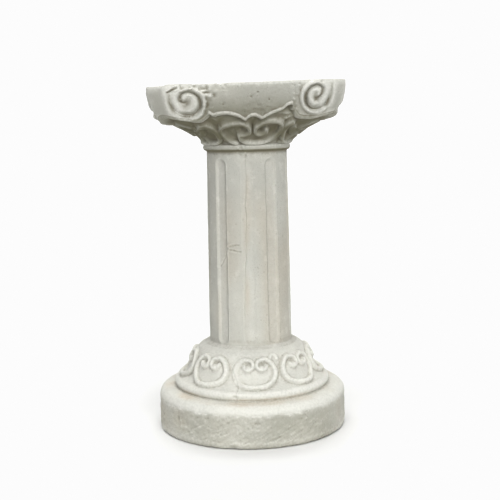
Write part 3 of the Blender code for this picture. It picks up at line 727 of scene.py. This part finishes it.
def carve(columns, fine):
    """The pedestal's skin row by row, with marks that the finish of the stone follows."""
    theta, tags, radius, height = base_surface(columns, fine)
    points = points_of(theta[None, :], radius, height)
    normals = normals_of(points)
    turn = (theta + np.pi) % (2 * np.pi) - np.pi
    turn = np.repeat(turn[None, :], len(tags), 0)
    deg = np.degrees(turn)
    tag = np.repeat(tags[:, None], columns, 1)
    around = radius * turn
    z = points[..., 2]
    facing = np.abs(deg) < 75
    px, py = in_frame(points)

    lift = np.zeros(radius.shape)
    add_panels(theta, tags, points, normals, lift)
    # the middle front panel lost its left rim when the mould was joined
    worn = blob(deg + 16.5, z - 0.118, 7.5, 0.040) * (tag == "stage")
    lift *= 1 - 0.72 * worn
    d_curl = stroke(px, py, STAGE_HOOK, (tag == "stage") & facing)
    lift = np.maximum(lift, 0.0026 * np.sqrt(1 - np.clip(d_curl / 1.7, 0, 1) ** 2))
    top_fill = smooth((z - 0.138) / 0.010) * (tag == "stage") * smooth((30 - np.abs(deg + 4)) / 12)
    lift *= 1 - 0.5 * top_fill
    loops = np.zeros(radius.shape)
    add_loops(theta, tags, points, loops, skip_front=True)
    bell = (tag == "bell") & facing
    d_left = stroke(px, py, CORD_LEFT, bell)
    d_right = stroke(px, py, CORD_RIGHT, bell)
    d_branch = stroke(px, py, CORD_BRANCH, bell)
    d_corner = np.minimum(stroke(px, py, CORNER_LEFT, bell), stroke(px, py, CORNER_RIGHT, bell))
    d_hook = stroke(px, py, CORNER_HOOK, bell)
    knob = np.hypot(px - 202.2, py - 133.0) * bell + 99 * ~bell
    for d, wide, tall in ((d_left, 2.4, 0.0050), (d_right, 2.5, 0.0054), (d_branch, 1.5, 0.0020),
                          (d_corner, 2.7, 0.0052), (d_hook, 2.2, 0.0040), (knob, 4.2, 0.0050)):
        x = np.clip(d / wide, 0, 1)
        loops = np.maximum(loops, tall * np.sqrt(1 - x * x))
    nearest = np.minimum(np.minimum(d_left, d_right), d_corner)
    loops -= 0.0018 * smooth((nearest - 2.2) / 2.0) * (nearest < 100) * smooth((9.5 - nearest) / 4.0)
    loops -= 0.0030 * blob(px - 243.2, py - 129.6, 2.2, 1.5) * bell + 0.0030 * blob(px - 260.0, py - 129.6, 2.4, 1.4) * bell
    loops -= 0.0030 * blob(px - 252.4, py - 128.6, 0.9, 3.6) * bell + 0.0024 * blob(px - 205.0, py - 131.0, 4.0, 3.5) * bell
    loops = blurred(loops, 1)
    lift += loops
    add_flutes(theta, tags, points, lift)
    # the middle front flute is shallow and its left edge is lost in the seam
    middle = smooth((13.5 - np.abs(deg + 3.4)) / 2.5) * (tag == "shaft")
    lift = np.where(middle > 0, lift * (1 - 0.62 * middle), lift)
    points = points + normals * lift[..., None]
    add_volutes(theta, tags, points)

    # ---- lumps, tool marks and flaws, all along the skin's own normal -------
    normals = normals_of(points)
    rough = 0.00045 * grain(points, 0.055, 3) + 0.00025 * grain(points, 0.021, 4)
    rough += (tag == "top") * 0.00025 * grain(points, 0.011, 5)
    side = (tag == "side") | (tag == "foot")
    on_drum = side | (tag == "shoulder")
    a = math.radians(24)
    along = np.stack([around * math.cos(a) + z * math.sin(a), -around * math.sin(a) + z * math.cos(a), 0 * z], -1)
    trowel = grain(along / np.array([0.016, 0.0026, 1.0]), 1.0, 11) + 0.6 * grain(along / np.array([0.030, 0.0048, 1.0]), 1.0, 12)
    patch = smooth(0.5 + 0.9 * grain(points, 0.045, 13))
    lower = blob(deg - 2, z - 0.022, 38, 0.026)
    rough += side * 0.00030 * trowel * (0.15 + 0.35 * patch + 1.5 * lower)
    rough += side * (0.00062 * grain(points * np.array([1, 1, 1.5]), 0.0085, 14) + 0.00046 * grain(points, 0.0042, 15)) * (0.7 + 0.6 * patch)
    rough += (tag == "shoulder") * 0.00016 * grain(points, 0.006, 16)
    deep_cut = np.clip(grain(along / np.array([0.020, 0.0020, 1.0]), 1.0, 17) - 0.45, 0, 1) * side * (0.35 + lower)
    rough -= 0.0012 * deep_cut
    rough += 0.0009 * np.roll(deep_cut, -2, 0)
    shaft = tag == "shaft"
    right_part = smooth((deg + 2) / 10)
    rough += shaft * (0.00010 + 0.00016 * right_part) * (grain(points, 0.0052, 18) + 0.7 * grain(points, 0.0026, 19))
    rough += shaft * 0.00030 * grain(points * np.array([1, 1, 0.35]), 0.014, 20)
    field = (tag == "block") & (np.abs(across_face(theta))[None, :] < 0.085)
    sandy = 0.30 + 0.70 * smooth(0.5 + 1.2 * grain(points + 0.3, 0.035, 21))
    sandy = np.where(facing & (points[..., 1] < -0.12) & (points[..., 0] < -0.02) & (points[..., 0] > -0.06), 0.25, sandy)
    rough += field * sandy * (0.00062 * grain(points, 0.0058, 22) + 0.00042 * grain(points, 0.0034, 23))
    rough += ((tag == "stage") | (tag == "ring") | (tag == "bell")) * 0.00010 * grain(points, 0.006, 24)

    # seam: a fine broken groove with a small step across it
    seam_deg = np.interp(z * 1000, [s[0] for s in SEAM], [s[1] for s in SEAM])
    across = radius * np.radians(deg - seam_deg) + 0.0011 * grain(np.stack([z, 0 * z, 0 * z], -1), 0.013, 30)
    on_seam = np.abs(deg - seam_deg) < 12
    broken = smooth(0.35 + 0.9 * grain(np.stack([z, 0 * z + 7, 0 * z], -1), 0.022, 31))
    depth = np.interp(z * 1000, (0, 60, 80, 95, 150, 165, 230, 260, 420, 470, 500, 512, 545, 560),
                      (0.3, 0.3, 0.8, 0.9, 0.6, 0.3, 0.9, 1.6, 1.2, 0.8, 0.8, 1.1, 0.6, 0.0)) * 0.001
    rough -= on_seam * depth * (0.25 + 0.75 * broken) * np.exp(-(across / 0.0011) ** 2)
    rough += on_seam * 0.45 * depth * np.exp(-((across - 0.0026) / 0.0016) ** 2)
    # a lump between the panels and a gouge in the ring where the seam passes
    rough += 0.0020 * blob(deg + 19, z - 0.100, 4.5, 0.005) * (tag == "stage")
    rough -= 0.0034 * blob(deg + 15.2, z - 0.0835, 1.5, 0.0030) * (tag == "ring")
    rough += 0.0018 * blob(deg + 11.5, z - 0.0860, 3.0, 0.0030) * (tag == "ring")
    # neck ring: smeared where the mould met, with a nick below it
    smear = blob(deg + 13, z - 0.504, 8, 0.008) * (tag == "neck")
    rough += smear * (0.0018 * grain(points, 0.0045, 32) - 0.0008)
    rough -= 0.0036 * blob(px - 245.2, py - 155.6, 1.5, 1.6) * facing * (z > 0.47)
    rough += 0.0018 * blob(px - 243.0, py - 153.8, 2.2, 1.2) * facing * (z > 0.47)
    rough -= 0.0010 * blob(px - 241.0, py - 154.6, 2.6, 0.8) * facing * (z > 0.47)
    # mortar smeared up the shaft's foot
    swell = 0.0030 * blob(deg + 22, z - 0.1585, 13, 0.0038) + 0.0018 * blob(deg - 30, z - 0.1570, 9, 0.0030)
    rough += swell * (shaft | (tag == "toe"))
    # star crack and its branches
    for line in CRACKS:
        d = np.abs(stroke(px, py, line, shaft & facing) + 0.55 * grain(points, 0.0040, 50))
        rough -= 0.0012 * np.exp(-(d / 0.85) ** 2) * (0.7 + 0.5 * grain(points, 0.0030, 51))
        rough += 0.0007 * np.exp(-((d - 1.7) / 0.7) ** 2)
    rough -= 0.0019 * blob(px - 227.2, py - 248.4, 1.1, 1.1) * (shaft & facing)
    # chip at the drum's foot and dents in its side
    rough -= 0.0030 * blob(deg + 15.5, z - 0.004, 2.6, 0.0045) * side
    rough += 0.0016 * blob(deg + 12, z - 0.010, 4.0, 0.0040) * side
    rough -= 0.0018 * blob(deg + 53, z - 0.040, 1.5, 0.012) * side
    # chips beside the left volute, a ragged top edge and a dark notch at its outer side
    front = facing & (points[..., 1] < -0.135)
    bx, bz = points[..., 0], z
    ragged = smooth((bz - 0.5995) / 0.005) * smooth((bx + 0.104) / 0.012) * smooth((-0.030 - bx) / 0.015) * front
    rough -= ragged * (0.0016 + 0.0016 * grain(points, 0.0050, 40))
    rough -= front * 0.0030 * np.clip(blob(bx + 0.0690, bz - 0.5985, 0.0075, 0.0030), 0, 1)
    rough -= front * 0.0026 * np.clip(blob(bx + 0.0590, bz - 0.5930, 0.0045, 0.0040), 0, 1)
    rough += front * 0.0016 * np.clip(blob(bx + 0.0640, bz - 0.5925, 0.0060, 0.0025), 0, 1)
    d_notch = stroke(px, py, NOTCH, front)
    rough -= 0.0034 * np.exp(-(d_notch / 1.0) ** 2)
    rough += 0.0012 * np.exp(-((d_notch - 2.2) / 0.9) ** 2) * (py < 90)
    for ax, az, deep in ((0.0017, 0.5890, 0.0022), (0.0124, 0.5962, 0.0022), (0.031, 0.583, 0.0010), (-0.044, 0.579, 0.0010)):
        rough -= front * deep * blob(bx - ax, bz - az - TILT * ax, 0.0016, 0.0014)
    # worn rims of both volutes
    rim = np.exp(-((np.hypot(np.abs(bx) - VOLUTE_X, bz - VOLUTE_Z) - 0.0325) / 0.0035) ** 2) * front * (np.abs(bx) < 0.100)
    rough += rim * 0.0008 * grain(points, 0.0042, 41)
    points = points + normals * rough[..., None]

    # air holes, one small round dent each, thickest on the drum and the right of the shaft
    pick = np.random.RandomState(5)
    rows_of = {name: np.where(tags == name)[0] for name in ("side", "shaft", "block", "stage", "shoulder", "ring", "top")}
    hole = np.zeros(radius.shape)
    for name, count, low, high in (("side", 120, 0.0007, 0.0015), ("shaft", 220, 0.0007, 0.0014), ("block", 80, 0.0006, 0.0012),
                                   ("stage", 40, 0.0005, 0.0010), ("shoulder", 50, 0.0005, 0.0011), ("ring", 20, 0.0005, 0.0010)):
        rows = rows_of[name]
        for _ in range(count):
            r, c = rows[pick.randint(len(rows))], pick.randint(columns)
            size = low + (high - low) * pick.rand() ** 2
            if name == "block" and not field[r, c]:
                continue
            if name == "shaft" and deg[r, c] < -2 and abs(deg[r, c]) < 75 and pick.rand() < 0.6:
                continue
            rr = np.arange(max(r - 4, 0), min(r + 5, len(tags)))
            cc = np.arange(c - 4, c + 5) % columns
            block = np.ix_(rr, cc)
            d = np.linalg.norm(points[block] - points[r, c], axis=-1)
            dent = np.exp(-(d / size) ** 2)
            hole[block] = np.maximum(hole[block], dent)
            points[block] -= normals[block] * (0.9 * size * dent)[..., None]

    # the block leans down to the left and its front left corner is knocked lower
    z = points[..., 2].copy()
    high = smooth((z - 0.520) / 0.030)
    corner = smooth((-0.1345 - points[..., 0]) / 0.004) * smooth((-0.050 - points[..., 1]) / 0.040)
    points[..., 2] += TILT * points[..., 0] * high + (TOP_MEAN - HEIGHT) * smooth((z - 0.590) / 0.018)
    points[..., 2] -= 0.0018 * corner * smooth((z - 0.585) / 0.022)
    coarse = np.clip(0.22 + 0.78 * side + 0.10 * (tag == "shoulder") + shaft * (0.12 + 0.50 * right_part)
                     + field * (0.20 + 0.60 * sandy), 0, 1)
    points[..., 2] = np.maximum(points[..., 2], 0.0)
    points[tags == "under", :, 2] = 0.0
    return tag, deg, points, hole, coarse


def marks_of(tag, deg, points, hole, coarse):
    """Marks from 0 to 1 that the finish follows: painted shade with a dark film, dirt and painted shade in hollows,
    worn edges and painted highlights, rust.
    """
    normals = normals_of(points)
    z = points[..., 2]
    x = points[..., 0]
    fine = np.sum((points - blurred(points, 2, 1)) * normals, -1)
    broad = np.sum((points - blurred(points, 3, 4)) * normals, -1)
    # from the skin's curvature: dirt and painted shade in hollows and creases, wear and painted highlights on raised
    # edges
    hollow = smooth((-fine - 0.00004) / 0.00040) * 0.5 + smooth((-broad - 0.00015) / 0.0014) * 0.9
    raised = smooth((fine - 0.00004) / 0.00036) * 0.5 + smooth((broad - 0.00015) / 0.0015) * 0.7
    side = (tag == "side") | (tag == "foot")
    shaft = tag == "shaft"
    edge = z + 0.0030 * grain(points, 0.020, 60)
    # painted highlight: the stage, ring and toe, and the drum's side towards its shoulder, are made paler where
    # overhead light falls
    pale = ((tag == "stage") | (tag == "ring") | (tag == "toe")) * 1.0
    pale += (side | (tag == "shoulder")) * smooth((edge - 0.0530) / 0.0140)
    radius = np.hypot(x, points[..., 1])
    usual = np.interp(z, (SHAFT_FOOT_Z, SHAFT_TOP_Z), (SHAFT_FOOT_R, SHAFT_TOP_R))
    floor = shaft * smooth((usual - radius - 0.0012) / 0.0014)
    raised = np.clip(raised * (1 - 0.45 * shaft) + 0.55 * pale + 0.30 * floor, 0, 1)
    on_foot = smooth((0.1660 - z) / 0.0060) * (shaft | (tag == "toe"))
    hollow *= (1 - 0.50 * shaft) * (1 - 0.50 * side) * (1 - 0.70 * on_foot) * (1 - 0.60 * floor) * (1 - 0.6 * hole)
    hollow *= 1 - 0.20 * (tag == "stage") - 0.30 * (tag == "bell") - 0.45 * ((tag == "ring") | (tag == "shoulder"))
    # painted light and shade: slopes that face up are made pale and the ones that face down dark
    capital = ((tag == "block") | (tag == "bell") | (tag == "lip") | (tag == "neck")) * 1.0
    lean_up = blurred(normals[..., 2], 1)
    lit_facing_up = capital * smooth((lean_up - 0.02) / 0.50) * (1 - 0.50 * (tag == "bell"))
    under = capital * smooth((-lean_up - 0.22) / 0.50) * (tag != "bell") + (tag == "bell") * smooth((-lean_up - 0.62) / 0.30)
    hollow *= 1 - 0.75 * lit_facing_up
    raised = np.clip(raised + 0.75 * lit_facing_up, 0, 1)
    flat_top = (tag == "top") | (tag == "arris")
    hollow *= 1.0 - flat_top
    raised = np.where(flat_top, 0.45, raised)
    lumps = grain(points, 0.040, 61)
    spots = grain(points, 0.013, 62)

    shade_and_film = np.zeros(z.shape)
    on_bell = (tag == "bell") | (tag == "bridge")
    # painted shade: the bell under the block's overhang is made dark in its colour, with a few grime spots
    shade_and_film += on_bell * (0.60 + 0.20 * smooth((z - 0.5120) / 0.0120) + 0.10 * spots)
    # painted shade along the lip band under the block's edge
    shade_and_film += (tag == "lip") * 0.50
    block = (tag == "block") | (tag == "arris")
    inner = smooth((0.084 - np.minimum(np.abs(x), np.abs(points[..., 1]))) / 0.012)
    # the block is a little darker overall, with random lumps of grime, and much darker towards the lip between the
    # volutes: painted shade of its leaning foot
    shade_and_film += block * (0.17 + 0.05 * inner + 0.06 * lumps + 0.36 * inner * smooth((0.598 - z) / 0.034))
    # painted shade: the neck ring is dark, darkest on its underside
    shade_and_film += (tag == "neck") * (0.36 + 0.45 * smooth((NECK_Z - 0.0005 - z) / 0.0040))
    # painted shadow: a dark band on the shaft just under the neck ring
    shade_and_film += shaft * 0.42 * smooth((z - 0.4925) / 0.0030)
    # painted shade: the drum's side is darker below the shoulder, with lumps of grime
    shade_and_film += (side | (tag == "shoulder")) * (0.29 + 0.08 * lumps) * (1 - smooth((edge - 0.0500) / 0.0140))
    shade_and_film += side * 0.34 * smooth((0.0150 - z) / 0.0150)
    # painted light: the drum's side is slightly darker right of the front and lighter towards its edges as seen from
    # the front
    shade_and_film += side * (0.08 * smooth((deg + 12) / 25) - 0.15 * smooth((np.abs(deg) - 42) / 26))
    # painted shade: the lower shaft is made a little darker
    shade_and_film += shaft * 0.07 * (1 - smooth((z - 0.34) / 0.12))
    # painted highlight: raised relief on the bell is made lighter
    shade_and_film -= on_bell * 0.16 * raised
    shade_and_film += (tag == "stage") * 0.025
    # painted shade on slopes facing down, painted light on slopes facing up
    shade_and_film += 0.22 * under - (0.22 + 0.10 * block) * lit_facing_up
    # painted highlight: raised relief on the block is made lighter
    shade_and_film -= block * 0.16 * raised

    # dirt and painted shade in the hollows
    dirt_and_shade = hollow + 0.25 * np.clip(spots, 0, 1) * hollow

    rust = np.zeros(z.shape)
    seam_deg = np.interp(z * 1000, [s[0] for s in SEAM], [s[1] for s in SEAM])
    by_seam = np.exp(-((deg - seam_deg - 2.5) / 4.0) ** 2) * (tag == "shaft") * (1 - smooth((z - 0.44) / 0.03))
    rust += 0.55 * by_seam * smooth(0.45 + 0.8 * grain(points * np.array([1, 1, 0.4]), 0.020, 63))
    rust += 0.35 * (tag == "shaft") * smooth(0.15 + 0.9 * grain(points * np.array([1, 1, 0.3]), 0.030, 64)) * (1 - 0.7 * smooth((z - 0.38) / 0.08))
    rust += 0.95 * ((tag == "ring") | (tag == "shoulder")) * smooth(0.4 + 0.9 * grain(points, 0.030, 65)) * smooth((0.0815 - z) / 0.0030) * smooth((z - 0.0710) / 0.0040)
    rust += 0.35 * (tag == "side") * smooth((0.020 - z) / 0.020) * smooth(0.3 + 0.9 * grain(points, 0.030, 66))
    rust += 0.30 * (tag == "side") * smooth((np.abs(deg) - 30) / 30) * smooth(0.2 + 0.9 * grain(points, 0.035, 67))
    return np.stack([np.clip(shade_and_film, 0, 1), np.clip(dirt_and_shade, 0, 1), np.clip(raised, 0, 1),
                     np.clip(rust, 0, 1), np.clip(hole, 0, 1), coarse], -1)


def thinned(points, marks):
    """The carved grid as one closed mesh under the triangle limit."""
    mesh = closed_mesh("carved_grid", points)
    rough = bpy.data.objects.new("carved_grid", mesh)
    bpy.context.scene.collection.objects.link(rough)
    thin = rough.modifiers.new("thin_out", "DECIMATE")
    thin.decimate_type = "COLLAPSE"
    thin.use_collapse_triangulate = True
    triangles = sum(len(p.vertices) - 2 for p in mesh.polygons)
    thin.ratio = FACE_TARGET / triangles
    graph = bpy.context.evaluated_depsgraph_get()
    light = bpy.data.meshes.new_from_object(rough.evaluated_get(graph))
    light.name = "pedestal_casting"
    bpy.data.objects.remove(rough, do_unlink=True)
    flat = points.reshape(-1, 3)
    tree = KDTree(len(flat))
    for i, p in enumerate(flat.tolist()):
        tree.insert(p, i)
    tree.balance()
    nearest = np.array([tree.find(v.co)[1] for v in light.vertices])
    values = marks.reshape(-1, marks.shape[-1])[nearest]
    for k, name in enumerate(("shade_and_film", "dirt_and_shade", "raised", "rust", "pit", "coarse")):
        layer = light.attributes.new(name, "FLOAT", "POINT")
        layer.data.foreach_set("value", np.ascontiguousarray(values[:, k], dtype=np.float32))
    for poly in light.polygons:
        poly.use_smooth = True
    return light


# ---- finish ----------------------------------------------------------------
def add(nodes, kind, **values):
    node = nodes.new(kind)
    for key, value in values.items():
        if key == "inputs":
            for name, v in value.items():
                node.inputs[name].default_value = v
        else:
            setattr(node, key, value)
    return node


def noise(nodes, links, where, scale, detail, rough):
    node = add(nodes, "ShaderNodeTexNoise", inputs={"Scale": scale, "Detail": detail, "Roughness": rough})
    links.new(where, node.inputs["Vector"])
    return node.outputs[0]


def ranged(nodes, links, value, low, high, to_low, to_high):
    node = add(nodes, "ShaderNodeMapRange", interpolation_type="SMOOTHSTEP",
               inputs={"From Min": low, "From Max": high, "To Min": to_low, "To Max": to_high})
    links.new(value, node.inputs["Value"])
    return node.outputs[0]


def mixed(nodes, links, factor, first, second, blend="MIX"):
    node = add(nodes, "ShaderNodeMix", data_type="RGBA", blend_type=blend)
    for socket, value in ((node.inputs[0], factor), (node.inputs[6], first), (node.inputs[7], second)):
        if isinstance(value, (int, float, tuple)):
            socket.default_value = value
        else:
            links.new(value, socket)
    return node.outputs[2]


def times(nodes, links, a, b, how="MULTIPLY"):
    node = add(nodes, "ShaderNodeMath", operation=how)
    for socket, value in ((node.inputs[0], a), (node.inputs[1], b)):
        if isinstance(value, (int, float)):
            socket.default_value = value
        else:
            links.new(value, socket)
    return node.outputs[0]


STONE = (0.635, 0.630, 0.580, 1.0)
STONE_GREY = (0.580, 0.580, 0.538, 1.0)
# colours of painted shade with film, of dirt with painted shade in hollows, and of worn stone with painted highlights
SHADE_AND_FILM = (0.226, 0.216, 0.152, 1.0)
DIRT_AND_SHADE = (0.235, 0.212, 0.160, 1.0)
WORN_AND_HIGHLIGHT = (0.740, 0.736, 0.690, 1.0)
RUST = (0.540, 0.455, 0.345, 1.0)
PIT = (0.200, 0.180, 0.140, 1.0)


def stone_finish():
    mat = bpy.data.materials.new("cast_stone_weathered_and_shaded")
    mat.use_nodes = True
    nodes, links = mat.node_tree.nodes, mat.node_tree.links
    shader = nodes["Principled BSDF"]
    where = add(nodes, "ShaderNodeTexCoord").outputs["Object"]
    mark = {}
    for name in ("shade_and_film", "dirt_and_shade", "raised", "rust", "pit", "coarse"):
        mark[name] = add(nodes, "ShaderNodeAttribute", attribute_name=name).outputs["Fac"]

    cloud = noise(nodes, links, where, 11.0, 4.0, 0.55)
    mottle = noise(nodes, links, where, 62.0, 5.0, 0.62)
    sand = noise(nodes, links, where, 620.0, 3.0, 0.65)
    sandy = noise(nodes, links, where, 240.0, 3.0, 0.60)
    cells = add(nodes, "ShaderNodeTexVoronoi", inputs={"Scale": 210.0, "Randomness": 1.0})
    links.new(where, cells.inputs["Vector"])
    pore_size = noise(nodes, links, where, 48.0, 2.0, 0.5)
    limit = ranged(nodes, links, pore_size, 0.52, 0.75, 0.02, 0.26)
    pore = add(nodes, "ShaderNodeMath", operation="LESS_THAN")
    links.new(cells.outputs["Distance"], pore.inputs[0])
    links.new(limit, pore.inputs[1])
    pores = pore.outputs[0]

    colour = mixed(nodes, links, ranged(nodes, links, cloud, 0.35, 0.68, 0.0, 1.0), STONE, STONE_GREY)
    light_spots = ranged(nodes, links, mottle, 0.52, 0.72, 0.0, 0.55)
    colour = mixed(nodes, links, light_spots, colour, WORN_AND_HIGHLIGHT)
    colour = mixed(nodes, links, ranged(nodes, links, sand, 0.30, 0.46, 0.22, 0.0), colour, DIRT_AND_SHADE)
    colour = mixed(nodes, links, times(nodes, links, mark["rust"], 0.75), colour, RUST)
    # painted shade together with the dark film
    colour = mixed(nodes, links, times(nodes, links, mark["shade_and_film"], 1.0), colour, SHADE_AND_FILM)
    # dirt and painted shade in the hollows
    dark = times(nodes, links, mark["dirt_and_shade"], ranged(nodes, links, mottle, 0.30, 0.62, 0.90, 0.62))
    colour = mixed(nodes, links, dark, colour, DIRT_AND_SHADE)
    # worn edges and painted highlights on the raised relief
    light = times(nodes, links, mark["raised"], ranged(nodes, links, sandy, 0.35, 0.60, 0.45, 0.95))
    colour = mixed(nodes, links, times(nodes, links, light, times(nodes, links, 1.0, mark["shade_and_film"], "SUBTRACT")), colour, WORN_AND_HIGHLIGHT)
    colour = mixed(nodes, links, times(nodes, links, mark["pit"], 0.16), colour, PIT)
    colour = mixed(nodes, links, times(nodes, links, pores, 0.22), colour, PIT)
    links.new(colour, shader.inputs["Base Color"])

    rough = ranged(nodes, links, mottle, 0.25, 0.75, 0.82, 0.97)
    links.new(rough, shader.inputs["Roughness"])
    shader.inputs["Metallic"].default_value = 0.0
    shader.inputs["Specular IOR Level"].default_value = 0.25

    height = times(nodes, links, sand, 0.45)
    height = times(nodes, links, height, times(nodes, links, sandy, 0.75), "ADD")
    height = times(nodes, links, height, times(nodes, links, pores, 0.55), "SUBTRACT")
    crust = noise(nodes, links, where, 190.0, 5.0, 0.62)
    fine_bump = add(nodes, "ShaderNodeBump", inputs={"Strength": 0.55, "Distance": 0.0011})
    links.new(height, fine_bump.inputs["Height"])
    bump = add(nodes, "ShaderNodeBump", inputs={"Distance": 0.0024})
    links.new(times(nodes, links, mark["coarse"], 0.85), bump.inputs["Strength"])
    links.new(crust, bump.inputs["Height"])
    links.new(fine_bump.outputs[0], bump.inputs["Normal"])
    links.new(bump.outputs[0], shader.inputs["Normal"])
    return mat


def floor_finish(name, first, second):
    mat = bpy.data.materials.new(name)
    mat.use_nodes = True
    nodes, links = mat.node_tree.nodes, mat.node_tree.links
    shader = nodes["Principled BSDF"]
    where = add(nodes, "ShaderNodeTexCoord").outputs["Object"]
    faint = noise(nodes, links, where, 6.0, 2.0, 0.5)
    links.new(mixed(nodes, links, faint, first, second), shader.inputs["Base Color"])
    shader.inputs["Roughness"].default_value = 1.0
    shader.inputs["Specular IOR Level"].default_value = 0.0
    return mat


def flat_sheet(name, low, high, z):
    mesh = bpy.data.meshes.new(name)
    corners = [(low[0], low[1], z), (high[0], low[1], z), (high[0], high[1], z), (low[0], high[1], z)]
    mesh.from_pydata(corners, [], [(0, 1, 2, 3)])
    mesh.update()
    sheet = bpy.data.objects.new(name, mesh)
    bpy.context.scene.collection.objects.link(sheet)
    return sheet


# ---- make the pedestal -----------------------------------------------------
tag, deg, points, hole, coarse = carve(COLUMNS, 0.52)
marks = marks_of(tag, deg, points, hole, coarse)
casting = bpy.data.objects.new("pedestal_casting", thinned(points, marks))
bpy.context.scene.collection.objects.link(casting)
casting.data.materials.clear()
casting.data.materials.append(stone_finish())
for poly in casting.data.polygons:
    poly.material_index = 0
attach(casting, "root")
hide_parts("column_pedestal")

# ---- studio ----------------------------------------------------------------
# a pale sheet on a grey floor, a white wall behind, broad soft lights in front and overhead
sheet = flat_sheet("studio_floor", (-1.3, -0.47), (1.3, 9.0), 0.0)
sheet.data.materials.append(floor_finish("studio_sheet", (0.790, 0.790, 0.785, 1.0), (0.800, 0.800, 0.795, 1.0)))
ground = flat_sheet("studio_ground", (-9.0, -9.0), (9.0, 0.6), -0.002)
ground.data.materials.append(floor_finish("studio_ground", (0.300, 0.300, 0.295, 1.0), (0.330, 0.330, 0.325, 1.0)))

WALL = 1.10                 # radiance of the wall that shows behind
ABOVE = 4.30                # of the bright panel over the wall, out of the picture
ROOM = 0.31                 # of the room in front, up to about eye height
world = bpy.data.worlds.new("studio")
bpy.context.scene.world = world
world.use_nodes = True
nodes, links = world.node_tree.nodes, world.node_tree.links
background = nodes["Background"]
direction = add(nodes, "ShaderNodeTexCoord").outputs["Generated"]
split = add(nodes, "ShaderNodeSeparateXYZ")
links.new(direction, split.inputs[0])
behind = ranged(nodes, links, split.outputs["Y"], 0.15, 0.55, 0.0, 1.0)
low = ranged(nodes, links, split.outputs["Z"], 0.17, 0.30, WALL, 0.0)
panel = ranged(nodes, links, split.outputs["Z"], 0.60, 0.75, 0.0, ABOVE)
front = times(nodes, links, 1.0, behind, "SUBTRACT")
room = ranged(nodes, links, split.outputs["Z"], 0.45, 0.60, ROOM, 0.0)
wall = times(nodes, links, behind, times(nodes, links, low, panel, "ADD"))
links.new(times(nodes, links, wall, times(nodes, links, front, room), "ADD"), background.inputs["Strength"])
background.inputs["Color"].default_value = (1.0, 1.0, 1.0, 1.0)


def soft_light(name, rise, turn, strength, wide):
    lamp = bpy.data.lights.new(name, "SUN")
    lamp.energy = strength
    lamp.angle = math.radians(wide)
    lamp_object = bpy.data.objects.new(name, lamp)
    bpy.context.scene.collection.objects.link(lamp_object)
    up, side = math.radians(rise), math.radians(turn)
    source = Vector((math.cos(up) * math.sin(side), -math.cos(up) * math.cos(side), math.sin(up)))
    lamp_object.rotation_euler = source.to_track_quat("Z", "Y").to_euler()
    lamp_object.location = source * 3.0


soft_light("key", 15, 14, 1.98, 34)
soft_light("fill", 35, -40, 0.60, 60)
soft_light("overhead", 80, 0, 1.86, 40)

camera = bpy.data.cameras.new("photo_camera")
camera.lens = LENS_PX / 500 * 36
camera.sensor_width = 36
camera_object = bpy.data.objects.new("photo_camera", camera)
bpy.context.scene.collection.objects.link(camera_object)
camera_object.matrix_world = camera_matrix()
bpy.context.scene.camera = camera_object

view = bpy.context.scene.view_settings
view.view_transform = "Standard"
view.look = "None"
view.exposure = 0.0
view.gamma = 0.80
view.use_curve_mapping = True
curve = view.curve_mapping
curve.extend = "HORIZONTAL"
curve.curves[3].points[0].location = (0.0, 0.0)
curve.curves[3].points[1].location = (1.0, 0.979)
curve.update()
